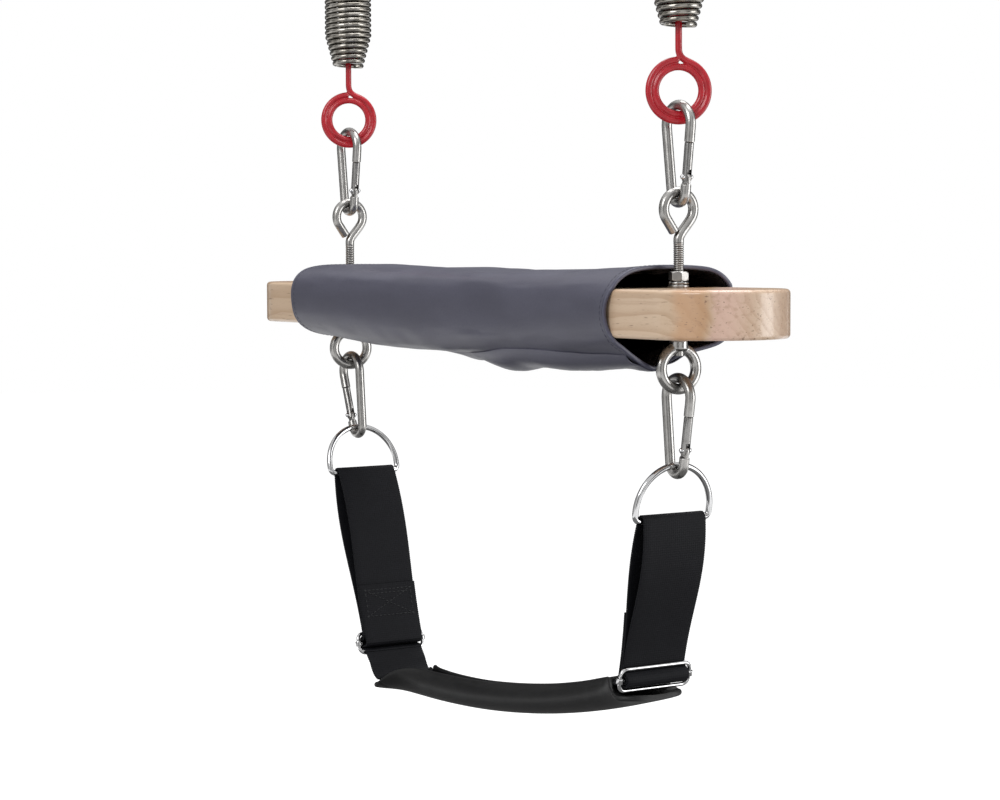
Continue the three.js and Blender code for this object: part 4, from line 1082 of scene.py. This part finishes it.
def hook_body():
    path = chain(
        NOSE,
        arc(WIDE_CENTRE, WIDE, -LEAN, pi + LEAN, 60),
        arc(NARROW_CENTRE, NARROW, pi + LEAN, tau - LEAN, 48),
        along(PIVOT, GATE_UP, TAIL),
    )
    run = lengths(path)[-1]
    stations = np.concatenate([np.arange(0, run - 9, 0.9), np.arange(run - 9, run, 0.22), [run]])
    path = np.stack([np.interp(stations, lengths(path), path[:, k]) for k in range(2)], 1)
    left = run - stations
    flat = np.clip((TAIL + SHOULDER + 0.8 - left) / 1.1, 0, 1)
    flat = flat * flat * (3 - 2 * flat)
    cheek = HALF_WIRE + (1.1 - HALF_WIRE) * flat
    reach = np.sqrt(np.maximum(HALF_WIRE**2 - np.maximum(HALF_WIRE - left, 0) ** 2, 0.16))
    return tube(path, np.stack([cheek, reach], 1), 24, square=2 + 2.4 * flat, chamfer=0.25)


def hook_gate():
    length = float(np.linalg.norm(NOSE - PIVOT)) - 0.2
    stations = np.array([-TAIL, -TAIL + 0.7, 0, SLOT_DEPTH, length * 0.6, length])
    return tube(np.stack([np.zeros(6), stations], 1), 2.7, 32, chamfer=0.35)


def box_form(width, depth, low, high):
    x, y = width / 2, depth / 2
    ring = lambda z: [(-x, -y, z), (x, -y, z), (x, y, z), (-x, y, z)]
    return loft([ring(low), ring(high)])


def snap_hooks():
    slot = box_form(9.0, 2.8, -TAIL - 2, SLOT_DEPTH)
    pin_hole = tube([[0, -6, 0], [0, 6, 0]], 1.3, 24, (1, 0, 0))
    for level, z, rise in (("upper", UPPER_HOOK_Z, 0), ("lower", NUT_FOOT_Z, 6.5)):
        body = level + "_hooks"
        for side, sign in SIDES.items():
            name = level + "_" + side
            turn = pi if name == "lower_left" else 0.0
            lean = sign * HOOK_LEAN[side] if level == "lower" else 0.0

            def set_down(form):
                form = form.turned(turn).moved(0, 0, rise).turned(lean, "Y")
                return form.moved(sign * BOLT_X, 0, z)

            hook = set_down(hook_body()).piece("snap_hook_" + name, STAINLESS)
            carved(hook, set_down(by_the_gate(pin_hole)))
            fit(hook, body, "stainless", "hook_" + name)
            gate = set_down(by_the_gate(hook_gate())).piece("hook_gate_" + name, GATE_STEEL)
            carved(gate, set_down(by_the_gate(slot)), set_down(by_the_gate(pin_hole)), bevel=0.22)
            fit(gate, level + "_" + side + "_gate", "stainless", "gate_" + name)
            pin = tube([[0, -2.75, 0], [0, 2.75, 0]], 1.15, 24, (1, 0, 0), ends="round")
            heads = [
                tube([[0, s * 2.55, 0], [0, s * 2.8, 0]], 1.55, 24, (1, 0, 0), ends="round")
                for s in (-1, 1)
            ]
            pin = set_down(by_the_gate(pin + heads[0] + heads[1]))
            fit(pin.piece("hook_pin_" + name, PLATED), body, "stainless", "gate_pin_" + name)
            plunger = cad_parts["gate_plunger_" + name]
            for holder in plunger.material_slots:
                holder.material = GATE_STEEL


# ---- Springs and their red eyes ---------------------------------------------------------------

# The springs' outside diameters along the body and at the ends, and how many curls taper between
COIL_OUTSIDE, COIL_END_OUTSIDE = 32.6, 21.0
COIL_WIRE, COIL_PITCH, COIL_CURLS, COIL_TAPER = 3.38, 3.54, 33.0, 6.0


def spring_eye():
    inner, outer, half = 13.5, 17.5, 2.0
    landing_turn = radians(48)
    stem_foot = (0, outer + half + 5.0)
    landing = arc((0, 0), outer, pi / 2 - landing_turn, 0, 1)[0]
    pull = 9.0
    bend = bezier(
        stem_foot,
        along(stem_foot, (0, -1), pull),
        along(landing, (cos(landing_turn), -sin(landing_turn)), -pull),
        landing,
        24,
    )
    stem_top = outer + half + 16.0 + 3.7 / 2
    round_way = arc((0, 0), outer, pi / 2 - landing_turn, pi / 2 - tau + radians(5), 90)
    strand = chain((0, stem_top + 6.0), (0, stem_top), bend, round_way)
    strand = tube(evenly(strand, 0.8), half, 18, ends="round")
    inside = tube(arc((0, 0), inner, 0, tau, 90)[:-1], half, 18, closed=True)
    middle = arc((0, 0), (inner + outer) / 2, pi / 2 - landing_turn, pi / 2 - tau + 0.25, 80)
    web = tube(middle, (0.5, 1.2), 10)
    # The cone head follows the taper of the part's own coil: 5 curls, 4.15 apart.
    rise = (COIL_OUTSIDE - COIL_END_OUTSIDE) / 2 / 5 / 4.15
    foot = 8.65 * cos(pi / 8)
    cone = [
        (0.02, 4.4),
        (5.0, 4.4),
        (foot + rise * 5.0 - 2.15, 5.4),
        (foot + rise * 12.5 - 2.15, 12.5),
        (0.02, 13.0),
    ]
    head = lathe(cone, 40).moved(0, 0, stem_top)
    return strand + inside + web, head


def springs_and_eyes():
    for side, sign in SIDES.items():
        x = sign * BOLT_X
        mesh = bpy.data.meshes.new("close_wound_" + side)
        coil = bpy.data.objects.new("close_wound_" + side, mesh)
        bpy.context.scene.collection.objects.link(coil)
        COIL.work(
            coil,
            SPRING_STEEL,
            wire=COIL_WIRE * MM,
            body=(COIL_OUTSIDE - COIL_WIRE) / 2 * MM,
            end=(COIL_END_OUTSIDE - COIL_WIRE) / 2 * MM,
            pitch=COIL_PITCH * MM,
            curls=COIL_CURLS,
            taper=COIL_TAPER,
            steps=40,
            facets=14,
        )
        shape = bmesh.new()
        shape.from_mesh(coil.data)
        bmesh.ops.recalc_face_normals(shape, faces=shape.faces)
        shape.to_mesh(coil.data)
        shape.free()
        coil.data.transform(Matrix.Translation((x * MM, 0, (COIL_BOTTOM_Z - 0.1) * MM)))
        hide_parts("spring_" + side)
        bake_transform(coil)

        ring, head = spring_eye()
        turn = ACROSS - radians(25)
        for name, body, level, form_turn, flip in (
            ("lower_", "lower_eyes", LOWER_RING_Z, turn, False),
            ("upper_", "hangers", UPPER_RING_Z, ACROSS, True),
        ):

            def stand(form):
                form = form.turned(pi, "Y") if flip else form
                return form.turned(form_turn).moved(x, 0, level)

            eye = fused(stand(ring + head).piece("red_eye_" + name + side, RED), 0.36, 6)
            fit(eye, body, "dipped_wire", name + "spring_eye_" + side)


# ---- D-rings, slides, webbing and grip --------------------------------------------------------

D_WIRE, WEB_WIDTH, WEB_PLY = 3.7, 45.0, 1.4
WEB_POINTS = 10  # points across each face of the strap
WEB_GAP = 1.2  # between the grip and the strap inside it
SLIDE_WIRE, SLIDE_SPACING, SLIDE_OUTSIDE = 2.4, 6.75, 53.0
GRIP_BOW, GRIP_LOW_X = 880.0, BOLT_X * -0.42
GRIP_PLY, GRIP_WIDTH, CLOSED_BEND, CLOSE_RUN = 3.5, 48.0, radians(350), 45.0
PLACES = {
    "left": dict(inset=52.0, rise=29.7, lean=radians(18), wrap=1.0, landing=0.3, reach=-9.0),
    "right": dict(inset=23.2, rise=14.6, lean=radians(12), wrap=0.0, landing=0.5, reach=4.0),
}
GRIP_BENDS = [
    (0, 0.075), (0.03, 0.076), (0.09, 0.08), (0.2, 0.09), (0.3, 0.17), (0.4, 0.31),
    (0.5, 0.46), (0.62, 0.6), (0.8, 0.757), (1, 0.857), (1.55, 0.943), (2.45, 1),
]


def grip_angle(x):
    return asin((x - GRIP_LOW_X) / GRIP_BOW)


def on_grip(angle, height):
    radius = GRIP_BOW - height
    return np.array([GRIP_LOW_X + radius * sin(angle), GRIP_LOW_Z + GRIP_BOW - radius * cos(angle)])


for _side, _place in PLACES.items():
    _place["x"] = SIDES[_side] * (BOLT_X - _place["inset"])
    _place["z"] = on_grip(grip_angle(_place["x"]), 0)[1] + _place["rise"]

GRIP_START = grip_angle(PLACES["left"]["x"] - PLACES["left"]["reach"])
GRIP_END = grip_angle(PLACES["right"]["x"] + PLACES["right"]["reach"])
GRIP_RUN = (GRIP_END - GRIP_START) * GRIP_BOW


def bend_at(run):
    """How far the grip's sheet is rolled, at any place along it."""
    shares = np.array(GRIP_BENDS)
    inward = min(run, GRIP_RUN - run) / CLOSE_RUN
    return CLOSED_BEND * float(np.interp(inward, shares[:, 0], shares[:, 1]))


def strip_section(half, edge, count):
    """A strip's outline with round edges, as distances across it and out of its middle."""
    face, flat = np.linspace(-edge, edge, count), np.full(count, half)
    nib = np.linspace(pi / 2, -pi / 2, 7)[1:-1]
    nose, rise = half * np.cos(nib), half * np.sin(nib)
    across = np.concatenate([face, edge + nose, face[::-1], -edge - nose])
    return across, np.concatenate([flat, rise, -flat, -rise])


def rolled(middle, up, width, ply, bend, count=40):
    """A strip's section with round edges, bent so that its edges rise towards each other."""
    radius = width / bend
    across, out = strip_section(ply / 2, width / 2 - ply / 2, count)
    angle = across / radius
    reach = radius + out
    height = radius - reach * np.cos(angle)
    return np.stack(
        [middle[0] + up[0] * height, reach * np.sin(angle), middle[1] + up[1] * height], 1
    )


def grip():
    stations = np.concatenate(
        [np.arange(0, 14, 0.6), np.arange(14, 60, 1.4), np.arange(60, GRIP_RUN / 2, 5.0)]
    )
    stations = np.concatenate([stations, GRIP_RUN - stations[::-1]])
    bends = np.array([bend_at(run) for run in stations])
    for _ in range(3):
        bends[1:-1] = (bends[:-2] + 2 * bends[1:-1] + bends[2:]) / 4
    rings = []
    for run, bend in zip(stations, bends):
        angle = GRIP_START + run / GRIP_BOW
        into = max(12.0 - min(run, GRIP_RUN - run), 0)
        inset = 12.0 - sqrt(max(144.0 - into * into, 0))
        width = GRIP_WIDTH - 2 * inset
        up = (-sin(angle), cos(angle))
        middle = on_grip(angle, GRIP_PLY / 2)
        rings.append(rolled(middle, up, width, GRIP_PLY, bend * width / GRIP_WIDTH))
    sheet = loft(rings).piece("rubber_grip", RUBBER, 60)
    soften(sheet, 0.5, 3, 50)
    plain(sheet, 60)
    fit(sheet, "sling", "rubber", "grip_tube")


def loop_runs(side, lean, wrap, **place):
    """The webbing's path over one D-ring and through its slide, h outboard of its bar and z up."""
    inset = SIDES[side] * (RING_BAR[side][0] - place["x"])
    drop = RING_BAR[side][1] - place["z"]
    ply = WEB_PLY + 0.3
    on_wire = SLIDE_WIRE / 2 + 0.4 + WEB_PLY / 2
    over = on_wire + ply
    outward, up = (cos(lean), -sin(lean)), (sin(lean), cos(lean))

    def in_slide(places):
        return np.array([along(along((-inset, -drop), outward, v), up, w) for v, w in places])

    crossing = asin((on_wire + over) / SLIDE_SPACING)
    top_bar, bottom_bar = (0, SLIDE_SPACING), (0, -SLIDE_SPACING)
    fold = D_WIRE / 2 + 0.4 + WEB_PLY / 2
    inward, outer_turn = radians(12) + RING_LEAN[side], radians(12) - RING_LEAN[side]
    pull = (hypot(inset, drop) - SLIDE_SPACING) * 0.4
    fold_over = arc((0, 0), fold, pi - inward, outer_turn, 24)
    inner_foot, outer_foot = in_slide([(-over, SLIDE_SPACING), (-on_wire, SLIDE_SPACING)])
    inner = bezier(
        inner_foot,
        along(inner_foot, up, pull),
        along(fold_over[0], (-sin(inward), -cos(inward)), pull),
        fold_over[0],
        60,
    )
    outer = bezier(
        fold_over[-1],
        along(fold_over[-1], (sin(outer_turn), -cos(outer_turn)), pull),
        along(outer_foot, up, pull),
        outer_foot,
        60,
    )
    wrap_round = in_slide(
        chain(
            arc(top_bar, over, pi, pi + crossing, 12),
            arc((0, 0), on_wire, crossing, -pi / 2, 24),
        )
    )
    tail_radius = 0.9 + WEB_PLY
    tail_side = over + ply
    tail_turn = in_slide(
        arc((tail_radius - tail_side, tail_radius - on_wire), tail_radius, -pi / 2, -pi, 14)
    )
    way = headings(inner)
    tail = inner + np.stack([-way[:, 1], way[:, 0]], 1) * ply
    tail = tail[lengths(inner) <= 34.0]
    through = in_slide(
        chain(
            arc(top_bar, on_wire, pi, pi + crossing, 12),
            arc((0, 0), over, crossing, -crossing, 24),
            arc(bottom_bar, on_wire, pi - crossing, pi - crossing * (1 - wrap), 12),
        )
    )
    path = chain(tail[::-1], tail_turn[::-1], wrap_round[::-1], inner, fold_over, outer, through)
    return path, tail


def flat_ring(point, up):
    """The flat strap's section, with rounded edges."""
    half = WEB_PLY / 2
    across, out = strip_section(half, WEB_WIDTH / 2 - half, WEB_POINTS)
    return np.stack([point[0] + up[0] * out, across, point[1] + up[1] * out], 1)


def section_on_grip(bend):
    ply = WEB_PLY + (2.6 - WEB_PLY) * bend / CLOSED_BEND
    roll = bend * 0.965
    radius = GRIP_WIDTH / bend - GRIP_PLY / 2 - WEB_GAP - ply / 2
    return ply, roll, radius * roll


def strap_half(side):
    """Rings of the strap from its sewn end to the middle of the grip."""
    place, sign = PLACES[side], SIDES[side]
    path, tail = loop_runs(side, **place)
    path = path * (sign, 1) + RING_BAR[side]
    path = evenly(path, 0.35)
    way = headings(path)
    ups = np.stack([way[:, 1] * sign, -way[:, 0] * sign], 1)
    rings = [flat_ring(p, u) for p, u in zip(path, ups)]

    start = GRIP_RUN if side == "right" else 0.0
    land = place["landing"] * CLOSE_RUN
    floor = GRIP_PLY + WEB_GAP

    def held(distance):
        run = abs(start - distance)
        angle = GRIP_START + run / GRIP_BOW
        ply, roll, width = section_on_grip(bend_at(run))
        return on_grip(angle, floor + ply / 2), angle, ply, roll, width

    middle, angle, *_ = held(land)
    grip_way = np.array([-sign * cos(angle), -sign * sin(angle)])
    reach = float(np.linalg.norm(middle - path[-1]))
    down = bezier(
        path[-1],
        along(path[-1], way[-1], reach * 0.4),
        along(middle, grip_way, -reach * 0.4),
        middle,
        60,
    )
    down = evenly(down, 0.35)
    way = headings(down)
    for point, (dx, dz) in list(zip(down, way))[1:-1]:
        run = (grip_angle(point[0]) - GRIP_START) * GRIP_BOW
        ply, roll, width = section_on_grip(bend_at(run))
        travelled = float(np.linalg.norm(point - path[-1]))
        roll = max(roll * min(travelled / 8.0, 1), 0.02)
        rings.append(rolled(point, (sign * dz, -sign * dx), width, ply, roll, WEB_POINTS))
    for distance in np.concatenate([np.arange(land, 60, 0.7), np.arange(60, GRIP_RUN / 2, 4.0)]):
        middle, angle, ply, roll, width = held(distance)
        rings.append(rolled(middle, (-sin(angle), cos(angle)), width, ply, roll, WEB_POINTS))
    return rings, tail


def webbing():
    left, left_tail = strap_half("left")
    right, right_tail = strap_half("right")
    rings = np.array(left + right[::-1])
    run = lengths(rings.mean(1))
    rim = np.zeros(rings.shape[1])
    rim[10:15], rim[25:30] = 1.0, 1.0
    rim[[0, 9, 15, 24]] = 0.5
    marks = {
        "run": np.repeat(run, rings.shape[1]),
        "rim": np.tile(rim, len(rings)),
    }
    strap = loft(rings, marks=marks).piece("woven_strap", STRAP, 70)
    WEAVE.work(strap, STRAP)
    fit(strap, "sling", "webbing", "webbing_strap")

    rows = []
    for side, tail in (("left", left_tail), ("right", right_tail)):
        sign = SIDES[side]
        way = headings(tail)
        face = tail + np.stack([-way[:, 1], way[:, 0]], 1) * (WEB_PLY / 2 + 0.12)
        face = face * (sign, 1) + RING_BAR[side]
        run = lengths(face)

        def at(distance, y):
            return (np.interp(distance, run, face[:, 0]), y, np.interp(distance, run, face[:, 1]))

        near, far, edge = run[-1] - 4, run[-1] - 22, 18.0
        for distance in (near, near - 2.4, far):
            rows.append([at(distance, y) for y in np.linspace(-edge, edge, 40)])
        for y in (-edge, edge):
            rows.append([at(d, y) for d in np.linspace(near, far, 20)])
        for s in (-1, 1):
            shares = np.linspace(0, 1, 40)
            rows.append([at(near + (far - near) * t, s * edge * (1 - 2 * t)) for t in shares])
    fit(stitches("strap_stitches", rows, BLACK_THREAD, 3.0, 2.3, 0.65), "sling", "webbing")


def rings_and_slides():
    reach, height = (50 + D_WIRE) / 2, 36.0
    rise = height - D_WIRE - reach
    radius = 3.5
    corner = (reach - radius, radius)
    d_path = chain(
        arc((0, rise), reach, 0, pi, 80),
        arc((-corner[0], corner[1]), radius, pi, 1.5 * pi, 10),
        arc(corner, radius, 1.5 * pi, tau, 10),
        closed=True,
    )
    reach = (SLIDE_OUTSIDE - SLIDE_WIRE) / 2
    bend = 4.2
    side, level = reach - bend, SLIDE_SPACING - bend
    slide_path = chain(
        arc((side, level), bend, 0, pi / 2, 12),
        arc((-side, level), bend, pi / 2, pi, 12),
        arc((-side, -level), bend, pi, 1.5 * pi, 12),
        arc((side, -level), bend, 1.5 * pi, tau, 12),
        closed=True,
    )
    knuckle = rounded(1.5, 2.25, -1.6, 1.6, 0.2)
    bar_end = reach - (2.25 + 1.5) / 2
    for name, sign in SIDES.items():
        place = PLACES[name]
        ring = tube(evenly(d_path, 1.2, True), D_WIRE / 2, 20, closed=True)
        ring = ring.turned(ACROSS).turned(sign * RING_LEAN[name], "Y")
        ring = ring.moved(RING_BAR[name][0], 0, RING_BAR[name][1])
        fit(ring.piece("bent_d_" + name, PLATED), "sling", "plated_wire", "d_ring_" + name)

        def hang(form):
            form = form.turned(ACROSS).turned(sign * place["lean"], "Y")
            return form.moved(place["x"], 0, place["z"])

        loop = hang(tube(evenly(slide_path, 0.8, True), SLIDE_WIRE / 2, 18, closed=True))
        fit(loop.piece("slide_loop_" + name, PLATED), "sling", "plated_wire", "slide_frame_" + name)
        bar = tube([[-bar_end, 0], [0, 0], [bar_end, 0]], SLIDE_WIRE / 2, 18)
        for x in (-reach, reach):
            bar = bar + lathe(knuckle, 28).moved(x, 0, 0)
        bar = hang(bar).piece("slide_bar_with_knuckles_" + name, PLATED)
        fit(bar, "sling", "plated_wire", "slide_bar_" + name)


# ---- Stage ------------------------------------------------------------------------------------


def seen_rays(tree):
    """1 for rays from the camera and in mirrors and glass, 0 for light."""
    path = tree.node("ShaderNodeLightPath")
    camera, glossy, clear = (
        Signal(tree, path.outputs[name])
        for name in ("Is Camera Ray", "Is Glossy Ray", "Is Transmission Ray")
    )
    return camera.most(glossy).most(clear)


# Name, bearing, width in millimetres and shade of each card
CARDS = [
    ("card_behind", 146, 4200, 0.05),
    ("card_far_left", 205, 1500, 0.12),
    ("card_far_right", 88, 1300, 0.1),
    ("card_left", -110, 1100, 0.3),
    ("card_near", -44, 1300, 0.28),
    ("card_right", 16, 900, 0.22),
]


def stage():
    world = bpy.data.worlds.new("white_room")
    bpy.context.scene.world = world
    world.use_nodes = True
    t = Tree(world.node_tree)
    t.tree.nodes.clear()
    strength = 0.5 + seen_rays(t) * 0.5
    sky = t.node("ShaderNodeBackground", {}, {"Color": (1, 1, 1, 1), "Strength": strength})
    t.node("ShaderNodeOutputWorld", {}, {"Surface": sky.outputs[0]})

    floor_finish, t = cleared("pale_floor")
    matt = t.node("ShaderNodeBsdfDiffuse", {}, {"Color": (0.6, 0.6, 0.6, 1)})
    sockets = {"Color": (1, 1, 1, 1), "Strength": seen_rays(t) * 0.75}
    glow = t.node("ShaderNodeEmission", {}, sockets)
    both = t.node("ShaderNodeAddShader", {}, {0: matt.outputs[0], 1: glow.outputs[0]})
    t.node("ShaderNodeOutputMaterial", {}, {"Surface": both.outputs[0]})
    rim = [(9000 * cos(a), 9000 * sin(a), -900.0) for a in np.linspace(0, tau, 64, endpoint=False)]
    floor = Form(rim, [tuple(range(64))]).piece("floor", floor_finish)

    def card(name, form, shade):
        grey, t = cleared(name)
        sockets = {"Color": (shade, shade, shade, 1), "Strength": 1.0}
        flat = t.node("ShaderNodeEmission", {}, sockets)
        t.node("ShaderNodeOutputMaterial", {}, {"Surface": flat.outputs[0]})
        piece = form.piece(name, grey)
        piece.visible_camera = False
        piece.visible_diffuse = False
        piece.visible_shadow = False
        piece.visible_transmission = False

    # Cards stand round the part at some bearings from its middle, for the metal to mirror.
    for name, bearing, width, shade in CARDS:
        half = width / 2
        foot, top = -2000, 1400
        corners = [(-half, 0, foot), (half, 0, foot), (half, 0, top), (-half, 0, top)]
        upright = Form(corners, [(0, 1, 2, 3)])
        card(name, upright.moved(0, -2600, 0).turned(radians(bearing + 90)), shade)

    low = 890
    corners = [(-low, -low, -low), (low, -low, -low), (low, low, -low), (-low, low, -low)]
    ground = Form(corners, [(0, 1, 2, 3)])
    card("card_below", ground, 0.3)

    def lamp(name, place, aim, size, power):
        data = bpy.data.lights.new(name, "AREA")
        data.shape, data.size, data.size_y, data.energy = "RECTANGLE", *size, power
        light = bpy.data.objects.new(name, data)
        bpy.context.scene.collection.objects.link(light)
        way = Vector(aim) - Vector(place)
        light.location = place
        light.rotation_euler = way.to_track_quat("-Z", "Y").to_euler()

    lamp("key", (0.7, -1.9, 0.9), (0, 0, -0.33), (1.1, 1.1), 25)
    lamp("overhead", (0.0, 0.3, 1.3), (0, 0, -0.33), (1.6, 1.2), 33)
    lamp("end_strip", (1.45, 1.4, -0.3), (0.25, 0, -0.33), (0.8, 1.2), 14)


def camera():
    yaw, pitch, roll = radians(56.70), radians(3.55), radians(-0.25)
    ahead = Vector((-sin(yaw) * cos(pitch), cos(yaw) * cos(pitch), -sin(pitch)))
    right = Vector((cos(yaw), sin(yaw), 0))
    up = right.cross(ahead)
    right, up = right * cos(roll) + up * sin(roll), up * cos(roll) - right * sin(roll)
    data = bpy.data.cameras.new("view")
    data.sensor_width, data.lens = 36, 89.53
    data.clip_start, data.clip_end = 0.05, 60
    eye = bpy.data.objects.new("view", data)
    turn = Matrix((right, up, -ahead)).transposed()
    eye.matrix_world = Matrix.Translation((1.3342, -0.8753, -0.2909)) @ turn.to_4x4()
    bpy.context.scene.collection.objects.link(eye)
    bpy.context.scene.camera = eye


camera()
stage()
bpy.context.scene.view_settings.view_transform = "Standard"
wooden_bar()
sleeve()
fasteners()
snap_hooks()
springs_and_eyes()
rings_and_slides()
webbing()
grip()
